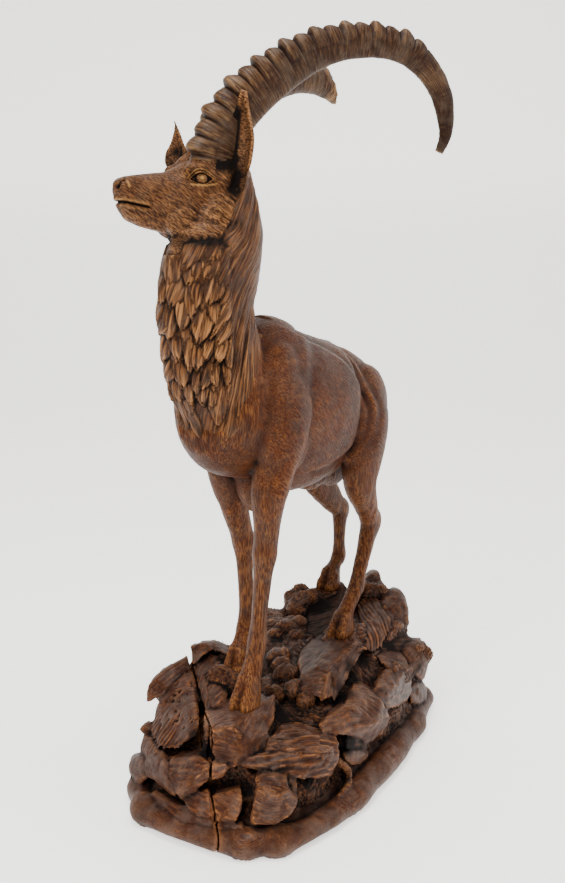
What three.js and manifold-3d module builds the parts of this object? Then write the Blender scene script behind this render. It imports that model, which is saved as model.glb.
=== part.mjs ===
// Carved wooden ibex standing alert on a rocky base, with two ribbed horns let into its head.
// Millimetres, +Z up, the animal facing -Y with its left side at +X, the floor at z = 0.
import * as THREE from "three";
import { ConvexGeometry } from "three/addons/geometries/ConvexGeometry.js";
import { mergeVertices } from "three/addons/utils/BufferGeometryUtils.js";
import Module from "manifold-3d";

const wasm = await Module();
wasm.setup();

// Driving dimensions
const BASE_LENGTH = 362;
const BASE_WIDTH = 190;
const BASE_SQUARENESS = 3.2;
const BASE_TURN = 3.5;
const ROLL_RADIUS = 9.5;
const PILE_TOP = 92;
const PILE_RISE = 0.085;
const JOINT_GAP = 0.3;
const HEAD_AT = [0, -113, 524];
const HEAD_TURN = -24;
const HORN_SPREAD = 15;
const LEFT_HORN_SPLAY = 5;
const RIGHT_HORN_BACK = 7.5;
const RIGHT_HORN_SET_BACK = 10;
const KNOBS = 19;
const CRACK_WIDTH = 1.6;
const FOOT_STONES = 10;
const MANE_ROWS = 7;
const LOCK_WIDTH = 18.5;
const LOCK_LENGTH = 37;

const point = (x, y, z) => new THREE.Vector3(x, y, z);
const radians = THREE.MathUtils.degToRad;
const tangentOf = (degrees) => Math.tan(radians(degrees));

// A closed geometry as a solid, turned right way out
function solid(geometry) {
  const bare = new THREE.BufferGeometry();
  bare.setAttribute("position", geometry.getAttribute("position"));
  if (geometry.getIndex()) bare.setIndex(geometry.getIndex());
  const merged = mergeVertices(bare, 1e-4);
  const vertProperties = new Float32Array(merged.attributes.position.array);
  const triVerts = new Uint32Array(merged.index.array);
  const made = new wasm.Manifold(new wasm.Mesh({ numProp: 3, vertProperties, triVerts }));
  if (made.volume() > 0) return made;
  for (let i = 0; i < triVerts.length; i += 3) {
    [triVerts[i + 1], triVerts[i + 2]] = [triVerts[i + 2], triVerts[i + 1]];
  }
  return new wasm.Manifold(new wasm.Mesh({ numProp: 3, vertProperties, triVerts }));
}

const joined = (solids) => wasm.Manifold.union(solids);
const moved = (made, matrix) => made.transform(matrix.elements);

// A finished solid as a mesh of the part
function meshOf(name, made, material) {
  const { numProp, vertProperties, triVerts } = made.getMesh();
  const geometry = new THREE.BufferGeometry();
  const positions = new Float32Array((vertProperties.length / numProp) * 3);
  for (let i = 0; i < positions.length / 3; i++) {
    positions.set(vertProperties.subarray(i * numProp, i * numProp + 3), i * 3);
  }
  geometry.setAttribute("position", new THREE.BufferAttribute(positions, 3));
  geometry.setIndex(new THREE.BufferAttribute(triVerts, 1));
  geometry.computeVertexNormals();
  const mesh = new THREE.Mesh(geometry, material);
  mesh.name = name;
  return mesh;
}

// A point on an oval, squarer as squareness rises
function oval(turn, squareness) {
  const shaped = (value) => Math.sign(value) * Math.abs(value) ** (2 / squareness);
  return [shaped(Math.cos(turn)), shaped(Math.sin(turn))];
}

// The surface through oval stations [x, y, z, half width, reach above, reach below].
// Above is side x direction of travel: the back of a leg drawn downwards, the top of a trunk drawn to +Y.
function surface(stations, side = point(1, 0, 0), grow = 0) {
  const centres = new THREE.CatmullRomCurve3(stations.map(([x, y, z]) => point(x, y, z)));
  const girths = new THREE.CatmullRomCurve3(stations.map(([, , , w, a, b]) => point(w, a, b)));
  return (t, turn, swell = 1) => {
    const centre = centres.getPoint(t);
    const tangent = centres.getTangent(t);
    const girth = girths.getPoint(t).addScalar(grow);
    const above = side.clone().cross(tangent).normalize();
    const across = tangent.clone().cross(above).normalize();
    const [c, s] = oval(turn, 2);
    const out = across.multiplyScalar(c * girth.x).addScaledVector(above, s * (s > 0 ? girth.y : girth.z));
    return { centre, tangent, girth, at: centre.clone().addScaledVector(out, swell), out: out.normalize() };
  };
}

// A closed body over such a surface, made by moving the rings of a sphere onto it
function loft(stations, { sides = 10, rings = 12, side, grow = 0, cap = 0.3, rows, swell = () => 1 } = {}) {
  const skin = surface(stations, side, grow);
  const shares = rows ?? Array.from({ length: rings }, (_, i) => i / (rings - 1));
  const last = shares.length + 1;
  const geometry = new THREE.SphereGeometry(1, sides, last);
  const position = geometry.getAttribute("position");
  for (let row = 0; row <= last; row++) {
    const t = shares[THREE.MathUtils.clamp(row - 1, 0, shares.length - 1)];
    for (let column = 0; column <= sides; column++) {
      const turn = (2 * Math.PI * (column % sides)) / sides;
      const { centre, tangent, girth, at } = skin(t, turn, swell(t, turn));
      const reach = cap * Math.min(girth.x, girth.y, girth.z) + grow;
      const pole = centre.addScaledVector(tangent, row === 0 ? -reach : reach);
      const { x, y, z } = row === 0 || row === last ? pole : at;
      position.setXYZ(row * (sides + 1) + column, x, y, z);
    }
  }
  return solid(geometry);
}

// Two ovals of the body, the ribs ending in a rounded arch before the narrower loin
function trunk() {
  const ribs = loft(
    [
      [0, -148, 350, 24, 29, 29],
      [0, -132, 350, 37, 47, 47],
      [0, -98, 351, 43, 62, 60],
      [0, -62, 351, 46, 76, 71],
      [0, -20, 345, 50, 67, 79],
      [0, 15, 337, 51, 64, 76],
      [0, 42, 331, 46, 62, 66],
      [0, 58, 328, 34, 50, 50],
    ],
    { sides: 14, rings: 10, cap: 0.25 },
  );
  const loin = loft(
    [
      [0, 10, 340, 36, 54, 54],
      [0, 50, 333, 41, 58, 58],
      [0, 85, 321, 42, 58, 56],
      [0, 112, 310, 39, 53, 50],
      [0, 133, 301, 29, 40, 38],
    ],
    { sides: 12, rings: 6 },
  );
  const fold = (side) =>
    loft(
      [
        [side * 27, 60, 374, 3, 3, 3],
        [side * 37, 68, 358, 4.5, 4.5, 4.5],
        [side * 41, 70, 334, 5, 5, 5],
        [side * 41, 60, 306, 5, 5, 5],
        [side * 35, 40, 286, 4.5, 4.5, 4.5],
        [side * 25, 22, 274, 3, 3, 3],
      ],
      { sides: 4, rings: 6 },
    );
  const sheath = loft(
    [
      [0, 6, 268, 7, 6, 6],
      [0, 26, 262, 8, 7, 7],
      [0, 50, 266, 9, 10, 10],
      [0, 74, 266, 12, 14, 16],
      [0, 92, 272, 12, 12, 14],
    ],
    { sides: 7, rings: 5 },
  );
  const tail = loft(
    [
      [0, 128, 344, 8, 6, 6],
      [0, 144, 334, 7, 5, 5],
      [0, 151, 314, 4, 4, 4],
    ],
    { sides: 5, rings: 3 },
  );
  return joined([ribs, loin, fold(1), fold(-1), sheath, tail]);
}

const NECK = [
  [0, -104, 545, 18, 19, 22],
  [0, -110, 530, 24, 27.5, 30],
  [0, -115, 510, 28, 40, 36],
  [0, -119, 490, 30, 46.5, 40],
  [0, -130, 465, 32, 50, 45],
  [0, -136, 440, 33, 44, 42],
  [0, -134, 409, 34, 50, 38],
  [0, -124, 372, 36, 55, 37],
  [0, -110, 340, 35, 46, 34],
];

// A pointed lock of hair lying on the skin, its tip standing off
function lock(root, out, along, width, length, lift) {
  const side = out.clone().cross(along).normalize();
  const at = (down, across, off) =>
    root
      .clone()
      .addScaledVector(along, down * length)
      .addScaledVector(side, across * width)
      .addScaledVector(out, off);
  return solid(
    new ConvexGeometry([
      at(0, 0, -2),
      at(0.45, -0.5, -1.5),
      at(0.45, 0.5, -1.5),
      at(0.45, 0.05, lift),
      at(1, 0.1, lift * 0.8),
      at(0.7, 0.05, -5),
    ]),
  );
}

// Rows of locks hanging round the throat and chest, each row set half a lock round from the last
function mane() {
  const skin = surface(NECK);
  const locks = [];
  for (let row = 0; row < MANE_ROWS; row++) {
    const t = 0.25 + (row * 0.55) / (MANE_ROWS - 1);
    const across = row === MANE_ROWS - 1 ? 4 : 5 + (row % 2);
    for (let i = 0; i < across; i++) {
      const round = (i - (across - 1) / 2) * 31;
      const { at, out, tangent } = skin(t, radians(270 + round));
      const forward = tangent.clone().addScaledVector(point(0, -1, 0), Math.abs(round) / 200).normalize();
      locks.push(lock(at, out, forward, LOCK_WIDTH, LOCK_LENGTH - Math.abs(round) * 0.07, 3.8));
    }
  }
  return joined(locks);
}

// Leg girths as [place along the joints, half width, reach back, reach forward]
const FRONT_GIRTH = [
  [0, 8, 22, 20],
  [0.4, 14, 34, 30],
  [0.8, 17, 37, 34],
  [1.2, 17.5, 31, 31],
  [1.6, 17, 23, 22],
  [2, 15.5, 15, 15.5],
  [2.4, 12.5, 12.5, 12.5],
  [2.85, 10.5, 10.5, 10.5],
  [3, 10.4, 10, 11],
  [3.18, 8, 8.2, 8.2],
  [3.4, 6.8, 7.2, 7],
  [3.8, 6.8, 7.4, 7],
  [4, 8.2, 8.8, 8],
  [4.5, 7.2, 7.6, 7.6],
  [5, 9.2, 10, 11],
];
const HIND_GIRTH = [
  [0, 10, 20, 22],
  [0.4, 17, 31, 34],
  [0.8, 19, 33, 37],
  [1.3, 18.5, 29, 33],
  [1.7, 17, 24, 34],
  [2.1, 14.5, 18, 27],
  [2.6, 11.4, 13, 17],
  [3, 9.6, 11, 10.5],
  [3.25, 7, 8, 7.4],
  [3.5, 6.2, 6.8, 6.4],
  [3.8, 6.4, 7, 6.6],
  [4, 7.6, 8.6, 7.6],
  [4.5, 6.8, 7.4, 7.4],
  [5, 8.6, 9.4, 9.6],
];

// A limb through its named joints
function limb(joints, girths, options) {
  const bones = joints.map((joint) => point(...joint));
  const stations = girths.map(([place, ...girth]) => {
    const bone = Math.min(Math.floor(place), bones.length - 2);
    return [...bones[bone].clone().lerp(bones[bone + 1], place - bone).toArray(), ...girth];
  });
  return loft(stations, options);
}

// Joints from the shoulder or hip down to the top of the hoof
const LEGS = [
  {
    girths: FRONT_GIRTH,
    hoof: 22,
    joints: [[20, -56, 402], [40, -80, 345], [35, -101, 282], [30, -100, 230], [25, -105, 152], [23, -114, 121]],
  },
  {
    girths: FRONT_GIRTH,
    hoof: 22,
    joints: [[-20, -56, 402], [-36, -75, 345], [-24, -74, 280], [-21, -55, 222], [-19, -53, 150], [-18, -66, 122]],
  },
  {
    girths: HIND_GIRTH,
    hoof: 17,
    joints: [[23, 96, 358], [34, 82, 312], [37, 63, 264], [35, 92, 214], [32, 66, 150], [28, 50, 126]],
  },
  {
    girths: HIND_GIRTH,
    hoof: 16,
    joints: [[-22, 100, 358], [-33, 93, 312], [-35, 91, 264], [-29, 148, 206], [-30, 148, 152], [-30, 132, 138]],
  },
];

// Two claws of a cloven hoof standing on their flat soles, with the small dewclaws behind
function foot([x, y, z], height, grow) {
  const solids = [];
  for (const side of [-1, 1]) {
    solids.push(
      loft(
        [
          [x + side * 4.2, y - 1, z + 3, 4.6, 9, 8],
          [x + side * 4.8, y - 4, z - height * 0.5, 5.2, 11, 12],
          [x + side * 5.2, y - 7, z - height, 5.6, 12, 14],
        ],
        { sides: 5, rings: 3, cap: 0, grow },
      ),
      loft(
        [
          [x + side * 4, y + 5, z + 14, 2.6, 3, 3],
          [x + side * 4.6, y + 11, z + 5, 2, 2.4, 2.4],
        ],
        { sides: 3, rings: 2, grow },
      ),
    );
  }
  return joined(solids);
}

const legs = (grow) =>
  LEGS.map(({ girths, hoof, joints }) =>
    limb(joints, girths, { sides: 7, rings: 14, grow }).add(foot(joints.at(-1), hoof, grow)),
  );

// The head is drawn facing -Y about the back of the skull, then turned to its right
const headMatrix = new THREE.Matrix4()
  .makeTranslation(...HEAD_AT)
  .multiply(new THREE.Matrix4().makeRotationZ(radians(HEAD_TURN)));

function skull() {
  return loft(
    [
      [0, -91, 0, 6.5, 7.5, 9],
      [0, -88.5, 0, 9.8, 10.2, 17],
      [0, -82, 0, 11.4, 11.5, 22],
      [0, -74, 0, 12, 13, 26],
      [0, -61, 0, 13.5, 14.6, 31],
      [0, -50, 0, 16.5, 16, 33],
      [0, -40, 1, 20, 19, 38],
      [0, -28, 2, 23, 23.5, 40],
      [0, -12, 3, 24, 26, 42],
      [0, 2, 3, 21, 24, 38],
      [0, 14, 2, 15, 17, 28],
    ],
    { sides: 12, rings: 10 },
  );
}

// An ear is a leaf hollowed on the side it opens to
function ear(root, tip, opening, size = 1) {
  const along = tip.clone().sub(root);
  const facing = opening.clone().normalize();
  const side = facing.clone().cross(along).normalize();
  const leaf = (shift, shrink) => {
    const stations = [[0, 7, 6, 6], [0.32, 11.5, 5, 5], [0.65, 9.5, 4.5, 4.5], [1, 1.2, 1.2, 1.2]];
    return loft(
      stations.map(([share, ...girth]) => [
        ...root.clone().addScaledVector(along, share).addScaledVector(facing, shift).toArray(),
        ...girth.map((reach) => Math.max(reach * size - shrink, 0.5)),
      ]),
      { sides: 6, rings: 5, side },
    );
  };
  return leaf(0, 0).subtract(leaf(4.4, 2.4));
}

function head() {
  const solids = [skull()];
  const hollows = [];
  for (const side of [-1, 1]) {
    const ball = new THREE.SphereGeometry(5.4, 6, 4);
    ball.translate(side * 18, -31, 11.5);
    const lids = new THREE.TorusGeometry(6.6, 1.8, 3, 8);
    lids.scale(1.25, 0.95, 1);
    lids.rotateY((side * Math.PI) / 2);
    lids.rotateZ(radians(-side * 14));
    lids.translate(side * 20.4, -31, 11.5);
    solids.push(solid(ball), solid(lids));
    const nostril = new THREE.SphereGeometry(2.8, 5, 3);
    nostril.scale(1, 1.5, 0.9);
    nostril.translate(side * 8.6, -90.5, 4.5);
    const mouth = new THREE.BoxGeometry(6, 30, 3);
    mouth.rotateZ(radians(side * 5));
    mouth.translate(side * 12, -84, -10.5);
    hollows.push(solid(nostril), solid(mouth));
  }
  return joined(solids).subtract(joined(hollows));
}

// Horn centreline in its own plane: [back, up], from inside the skull to the tip
const HORN_PATH = [
  [-19, 14],
  [-18, 28],
  [-12, 46],
  [-1, 63],
  [10, 75],
  [21, 84],
  [37, 96],
  [56, 107],
  [79, 115],
  [102, 118],
  [121, 117],
  [136, 113],
  [148, 106],
  [158, 97],
  [168, 83],
  [174, 65],
  [175, 49],
  [171, 37],
];
const HORN_RIBBED = 0.74;
const HORN_GIRTH = new THREE.SplineCurve(
  [[0, 17], [0.2, 17.5], [0.35, 15.5], [0.5, 12.6], [0.74, 10.4], [0.85, 8.2], [1, 2.4]].map(
    ([along, reach]) => new THREE.Vector2(along, reach),
  ),
);

// A horn bears knobs on its front, large and small by turns, as far as the smooth last quarter
function horn(side, grow = 0) {
  const spread = tangentOf(HORN_SPREAD);
  const splay = side > 0 ? tangentOf(LEFT_HORN_SPLAY) : 0;
  const pitch = radians(side > 0 ? 0 : RIGHT_HORN_BACK);
  const place = ([back, up]) => {
    const at = point(side * (spread * (back + 20) + splay * (up - 14)), back + 20, up - 14);
    at.applyAxisAngle(point(1, 0, 0), -pitch);
    return [at.x + side * 10.5, at.y - 20 + (side > 0 ? 0 : RIGHT_HORN_SET_BACK), at.z + 14];
  };
  const path = new THREE.CatmullRomCurve3(HORN_PATH.map((at) => point(...place(at))));
  const stations = Array.from({ length: 33 }, (_, i) => {
    const reach = HORN_GIRTH.getPoint(i / 32).y;
    const slim = side > 0 ? 1 : 0.86;
    const [halfWidth, front, back] = [0.68, 0.92 + i / 115, slim * (1.3 - i / 150)].map((share) => share * reach);
    return [...path.getPointAt(i / 32).toArray(), halfWidth, front, back];
  });
  const step = HORN_RIBBED / KNOBS;
  const rows = [0];
  for (let k = 0; k < KNOBS; k++) {
    const steps = k % 2 ? [0.1, 0.28, 0.85] : [0.1, 0.6];
    rows.push(...steps.map((share) => (k + share) * step));
  }
  for (let i = 1; i <= 7; i++) rows.push(HORN_RIBBED + ((1 - HORN_RIBBED) * i) / 7);
  const swell = (t, turn) => {
    const knob = Math.floor(t / step);
    const share = t / step - knob;
    if (knob >= KNOBS || share < 0.2 || knob < 1) return 1;
    const front = Math.max(0, Math.sin(turn));
    return 1 + front * (knob % 2 ? 0.26 : 0.12) * Math.min(1, 1.25 - share * 0.4);
  };
  const normal = point(1, -side * spread, -side * splay).normalize();
  return loft(stations, { sides: 6, rows, side: normal, swell, grow, cap: 0.15 });
}

// The right horn is broken off short of its tip in a jagged end
function brokenHorn() {
  const cut = (size, turns, at) => {
    const box = new THREE.BoxGeometry(...size);
    box.rotateX(radians(turns[0]));
    box.rotateY(radians(turns[1]));
    box.translate(...at);
    return solid(box);
  };
  return horn(-1).subtract(
    joined([
      cut([240, 160, 400], [24, 0], [-50, 253, 40]),
      cut([240, 30, 60], [-26, 16], [-50, 182, 110]),
    ]),
  );
}

function figure() {
  const leftEar = ear(point(22, 0, 12), point(29, 0, 74), point(0.8, -0.6, 0));
  const rightEar = ear(point(-27, -13, 10), point(-48.5, -19, 60), point(0.35, -0.93, 0), 1.15);
  const solids = [trunk(), loft(NECK, { sides: 14, rings: 10 }), mane(), ...legs(0)];
  solids.push(...[head(), leftEar, rightEar].map((made) => moved(made, headMatrix)));
  const sockets = [1, -1].map((side) => moved(horn(side, JOINT_GAP), headMatrix));
  return joined(solids).subtract(joined(sockets));
}

// A point on the outline of the base, out by a share of its half size
function outline(turn, share = 1) {
  const [c, s] = oval(turn, BASE_SQUARENESS);
  const at = point((c * share * BASE_WIDTH) / 2, (s * share * BASE_LENGTH) / 2, 0);
  at.applyAxisAngle(point(0, 0, 1), radians(BASE_TURN));
  return [at.x, at.y];
}

function mound() {
  const levels = [[0, 0], [0.97, 0], [1, 18], [0.92, 34], [0.84, 62], [0.7, 82], [0.4, 92], [0, 92]];
  const sides = 24;
  const geometry = new THREE.SphereGeometry(1, sides, levels.length - 1);
  const position = geometry.getAttribute("position");
  levels.forEach(([share, height], row) => {
    for (let column = 0; column <= sides; column++) {
      const [x, y] = outline((2 * Math.PI * (column % sides)) / sides, share);
      const rise = ((y + 75) * PILE_RISE * height) / PILE_TOP;
      position.setXYZ(row * (sides + 1) + column, x, y, height + (height > 26 ? rise : 0));
    }
  });
  return solid(geometry);
}

// The twig-like roll moulding round the foot, swollen at its knots
const ROLL_KNOTS = [-114, -56, -12, 0, 16, 42, 76, 112, 150, 196, 226];
function roll() {
  const [around, section] = [34, 5];
  const geometry = new THREE.TorusGeometry(1, 0.1, section, around);
  const position = geometry.getAttribute("position");
  for (let j = 0; j <= section; j++) {
    for (let i = 0; i <= around; i++) {
      const turn = (2 * Math.PI * (i % around)) / around;
      const round = (2 * Math.PI * (j % section)) / section;
      const degrees = THREE.MathUtils.radToDeg(turn);
      const near = Math.min(...ROLL_KNOTS.map((knot) => Math.abs(((degrees - knot + 540) % 360) - 180)));
      const radius = ROLL_RADIUS * (1 + 0.6 * Math.max(0, 1 - near / 9));
      const [x, y] = outline(turn, 1);
      const out = point(x, y, 0).normalize();
      const at = point(x, y, ROLL_RADIUS * 1.2).addScaledVector(out, radius * Math.cos(round));
      at.z += Math.min(radius, ROLL_RADIUS * 1.15) * Math.sin(round);
      position.setXYZ(j * (around + 1) + i, at.x, at.y, at.z);
    }
  }
  return solid(geometry);
}

// Evenly spread steps of roughness for a rock's corners
const rough = (seed, i) => {
  const value = Math.sin(seed * 12.9898 + i * 78.233) * 43758.5453;
  return value - Math.floor(value);
};

// A faceted rock: the middles of a box's edges, each moved a little, under a convex skin, with a keel below
function rock(seed, [x, y, z], [length, width, height], [turn, pitch = 0, tilt = 0] = [0]) {
  const corners = [];
  for (const a of [-1, 1]) {
    for (const b of [-1, 1]) corners.push([a, b, 0]);
    corners.push([a, 0, 1], [0, a, 1], [0, a * 0.7, -1]);
  }
  const matrix = new THREE.Matrix4()
    .makeTranslation(x, y, z)
    .multiply(new THREE.Matrix4().makeRotationZ(radians(turn)))
    .multiply(new THREE.Matrix4().makeRotationX(radians(pitch)))
    .multiply(new THREE.Matrix4().makeRotationY(radians(tilt)));
  const points = corners.map(([a, b, c], i) => {
    const at = point(a, b, c);
    at.x += (rough(seed, i) - 0.5) * 0.5 * (a === 0 ? 1.6 : 0.5);
    at.y += (rough(seed, i + 20) - 0.5) * 0.5 * (b === 0 ? 1.6 : 0.5);
    at.z += (rough(seed, i + 40) - 0.5) * 0.5 * (c === 0 ? 1.6 : 0.5);
    return at.multiply(point(length / 2, width / 2, height / 2)).applyMatrix4(matrix);
  });
  return solid(new ConvexGeometry(points));
}

// Rocks in view, each [centre, size, turn and tilts]
const ROCKS = [
  [[-50, -62, 97], [46, 34, 36], [20, -8, 0]],
  [[-70, -92, 80], [26, 52, 34], [-14, 18, -20]],
  [[-78, -112, 42], [18, 34, 28], [10, 0, 0]],
  [[-77, -131, 24], [22, 28, 24], [-30, 0, 0]],
  [[-48, -114, 58], [62, 60, 24], [0, 46, 0]],
  [[-68, -134, 24], [24, 28, 26], [0, 0, 0]],
  [[-26, -148, 34], [64, 36, 32], [-14, 10, 0]],
  [[20, -146, 56], [50, 34, 76], [8, 0, 0]],
  [[66, -146, 42], [44, 38, 44], [20, 0, 0]],
  [[44, -136, 54], [60, 22, 10], [32, 0, 0]],
  [[64, -66, 72], [42, 36, 30], [0, 0, 0]],
  [[80, -26, 64], [38, 66, 44], [-8, 0, -20]],
  [[84, -56, 54], [30, 42, 32], [0, 0, -10]],
  [[74, 54, 62], [40, 62, 42], [6, 0, -16]],
  [[68, 110, 57], [42, 50, 50], [-14, 0, -10]],
  [[40, -28, 84], [40, 46, 36], [-30, 14, -24]],
  [[20, 12, 88], [66, 72, 26], [-20, 10, -10]],
  [[34, 96, 86], [60, 60, 40], [0, 0, 0]],
  [[10, 146, 104], [36, 34, 52], [10, 0, 0]],
  [[40, 134, 90], [38, 42, 52], [24, 0, -10]],
  [[-54, 104, 100], [34, 32, 44], [30, 0, 0]],
  [[-40, 56, 88], [40, 36, 34], [0, 0, 0]],
  [[-8, -22, 84], [44, 52, 30], [30, 0, 0]],
  [[12, -52, 84], [32, 36, 30], [0, 0, 0]],
  [[-30, 122, 102], [44, 44, 40], [0, 0, 0]],
  [[-20, -74, 82], [46, 48, 36], [0, 0, 0]],
  [[30, 50, 90], [46, 52, 40], [0, 0, 0]],
];

// Outline of the flat ledge under the left front hoof
const LEDGE = [[-14, -132], [6, -160], [36, -156], [46, -128], [38, -86], [14, -78], [-8, -98]];

const flatShape = (corners) => new THREE.Shape(corners.map(([x, y]) => new THREE.Vector2(x, y)));

function rocks() {
  const solids = ROCKS.map(([at, size, turns], i) => rock(i + 1, at, size, turns));
  for (let i = 0; i < 5; i++) {
    const [x, y] = outline(radians(108 + i * 24), 0.68);
    solids.push(rock(60 + i, [x, y, 62 + (i % 3) * 8], [62, 60, 46], [i * 40, 0, 0]));
  }
  for (let i = 0; i < FOOT_STONES; i++) {
    const degrees = (360 * (i + 0.35 * rough(i, 3))) / FOOT_STONES;
    const [x, y] = outline(radians(degrees), 0.84);
    const [u, v] = outline(radians(degrees + 4), 0.84);
    const turn = THREE.MathUtils.radToDeg(Math.atan2(v - y, u - x));
    const size = [64, 30, 34 + 10 * rough(i, 7)];
    solids.push(rock(80 + i, [x, y, 32 + 8 * rough(i, 5)], size, [turn, -14]));
  }
  const log = new THREE.CylinderGeometry(15, 17, 58, 8, 1);
  log.rotateZ(Math.PI / 2);
  log.rotateY(radians(6));
  log.rotateZ(radians(36));
  log.translate(72, -110, 64);
  const loop = new THREE.TorusGeometry(9, 2.6, 6, 12);
  loop.rotateX(radians(70));
  loop.translate(90, -66, 27);
  const ledge = new THREE.ExtrudeGeometry(flatShape(LEDGE), {
    depth: 22,
    bevelThickness: 4,
    bevelSize: 4,
    bevelSegments: 1,
  });
  ledge.translate(0, 0, 73);
  return joined([...solids, solid(log), solid(loop), solid(ledge)]);
}

// A drying crack runs from the front rim up into the pile, as a thin wedge of [along, height]
const CRACK_FROM = [40, -196];
const CRACK_TO = [-76, -66];
const CRACK_PROFILE = [[0, -1], [45, -1], [172, 60], [172, 150], [0, 150]];

function crack() {
  const profile = flatShape(CRACK_PROFILE);
  const wedge = new THREE.ExtrudeGeometry(profile, { depth: CRACK_WIDTH, bevelEnabled: false });
  wedge.rotateX(Math.PI / 2);
  wedge.rotateZ(Math.atan2(CRACK_TO[1] - CRACK_FROM[1], CRACK_TO[0] - CRACK_FROM[0]));
  wedge.translate(CRACK_FROM[0], CRACK_FROM[1], 0);
  return solid(wedge);
}

function base() {
  const pile = joined([mound(), roll(), rocks()]);
  return pile.subtract(joined([...legs(JOINT_GAP), crack()])).trimByPlane([0, 0, 1], 0);
}

const wood = new THREE.MeshStandardMaterial({ color: 0x5a3420, roughness: 0.5, metalness: 0 });
const group = new THREE.Group();
const pieces = {
  ibex: figure(),
  horn_left: moved(horn(1), headMatrix),
  horn_right: moved(brokenHorn(), headMatrix),
  rocky_base: base(),
};
for (const [name, made] of Object.entries(pieces)) {
  group.add(meshOf(name, made, wood));
}

export default group;
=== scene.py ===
"""A carved wooden ibex on its rocky base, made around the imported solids.

The classes work in millimetres, the animal facing -Y with its left side at +X, as the solids do.
A piece is turned to metres when it is finished.
"""
import logging
import math
from dataclasses import dataclass, field, replace
from enum import Enum
from typing import Callable, Iterable, Optional, Sequence

import bmesh
import bpy
import numpy as np
from mathutils import Matrix, Vector
from mathutils.bvhtree import BVHTree


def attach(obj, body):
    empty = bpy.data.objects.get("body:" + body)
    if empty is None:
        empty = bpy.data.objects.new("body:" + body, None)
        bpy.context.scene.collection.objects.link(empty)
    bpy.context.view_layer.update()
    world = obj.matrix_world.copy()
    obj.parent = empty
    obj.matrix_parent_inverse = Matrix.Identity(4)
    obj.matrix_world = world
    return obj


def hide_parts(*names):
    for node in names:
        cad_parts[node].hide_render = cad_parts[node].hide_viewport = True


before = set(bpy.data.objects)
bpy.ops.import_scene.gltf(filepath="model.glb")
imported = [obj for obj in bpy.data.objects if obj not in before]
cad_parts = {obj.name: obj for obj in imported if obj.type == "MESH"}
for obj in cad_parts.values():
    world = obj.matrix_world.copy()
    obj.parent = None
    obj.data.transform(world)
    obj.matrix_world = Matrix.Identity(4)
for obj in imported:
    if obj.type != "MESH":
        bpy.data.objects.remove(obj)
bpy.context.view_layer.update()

logging.basicConfig(level=logging.INFO, format="%(message)s")
log = logging.getLogger("ibex")

MM = 0.001
MOST_TRIANGLES = 185000

Array = np.ndarray
Knots = Sequence[Sequence[float]]
Form = bmesh.types.BMesh
Socket = bpy.types.NodeSocket
Piece = bpy.types.Object


class Side(Enum):
    """The animal's own sides, as signs along X."""

    LEFT = 1
    RIGHT = -1


class Slot(Enum):
    """The record's material slots."""

    FIGURE = "figure_wood"
    HORN = "horn_wood"
    BASE = "base_wood"


# Curves and noise


def spline(knots: Knots, shares: Array) -> Array:
    """Reads a centripetal curve through knots.

    Args:
        knots: Rows whose first three values are a place; further values ride along.
        shares: Where to read, from 0 at the first knot to 1 at the last.

    Returns:
        One row of values for each share.
    """
    rows = np.asarray(knots, float)
    rows = np.vstack([2 * rows[0] - rows[1], rows, 2 * rows[-1] - rows[-2]])
    spot = np.clip(np.asarray(shares, float), 0, 1) * (len(rows) - 3)
    index = np.minimum(spot.astype(int), len(rows) - 4)
    part = (spot - index)[:, None]
    a, b, c, d = (rows[index + k] for k in range(4))
    gaps = [np.sqrt(np.linalg.norm((q - p)[:, :3], axis=1))[:, None] for p, q in ((a, b), (b, c), (c, d))]
    before, here, after = [np.maximum(gap, 1e-4) for gap in gaps]
    start = ((b - a) / before - (c - a) / (before + here) + (c - b) / here) * here
    end = ((c - b) / here - (d - b) / (here + after) + (d - c) / after) * here
    return (
        b * (2 * part**3 - 3 * part**2 + 1)
        + c * (3 * part**2 - 2 * part**3)
        + start * (part**3 - 2 * part**2 + part)
        + end * (part**3 - part**2)
    )


def ease(low: float, high: float, values: Array) -> Array:
    """Rises smoothly from 0 at low to 1 at high."""
    part = np.clip((values - low) / (high - low), 0, 1)
    return part * part * (3 - 2 * part)


def bell(values: Array, width: float) -> Array:
    """A soft bump of height 1 about zero."""
    return np.exp(-((values / width) ** 2))


def chance(cells: Array, seed: int) -> Array:
    """An even spread of values from 0 to 1, one for each whole-number row."""
    cells = cells.astype(np.int64)
    x, y, z = cells.T
    mixed = x * 73856093 ^ y * 19349663 ^ z * 83492791 ^ (seed + 11) * 2654435761
    mixed = (mixed ^ (mixed >> 13)) * 1274126177
    mixed = mixed ^ (mixed >> 16)
    return (mixed & 0xFFFFFF) / float(0xFFFFFF)


def noise(points: Array, size: float | Sequence[float], seed: int = 0) -> Array:
    """Smooth noise from -1 to 1.

    Args:
        points: Places in millimetres.
        size: How far apart its hills are, in all or in each direction.
        seed: Which noise it is.

    Returns:
        One value for each place.
    """
    spots = points / np.asarray(size, float)
    floor = np.floor(spots)
    part = spots - floor
    part = part * part * (3 - 2 * part)
    total = np.zeros(len(points))
    for corner in np.ndindex(2, 2, 2):
        offset = np.array(corner)
        weight = np.prod(np.where(offset == 1, part, 1 - part), axis=1)
        total += weight * chance(floor + offset, seed)
    return total * 2 - 1


def rotation_about_z(degrees: float) -> Array:
    """The matrix that turns a row of places about Z."""
    c, s = math.cos(math.radians(degrees)), math.sin(math.radians(degrees))
    return np.array([[c, s, 0], [-s, c, 0], [0, 0, 1]])


def beside_segment(places: Array, start: Sequence[float], end: Sequence[float]) -> tuple[Array, Array]:
    """Distance from a straight segment, and the share along it."""
    way = np.subtract(end, start)
    share = np.clip((places - np.array(start)) @ way / (way @ way), 0, 1)
    return np.linalg.norm(places - start - share[:, None] * way, axis=1), share


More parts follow.
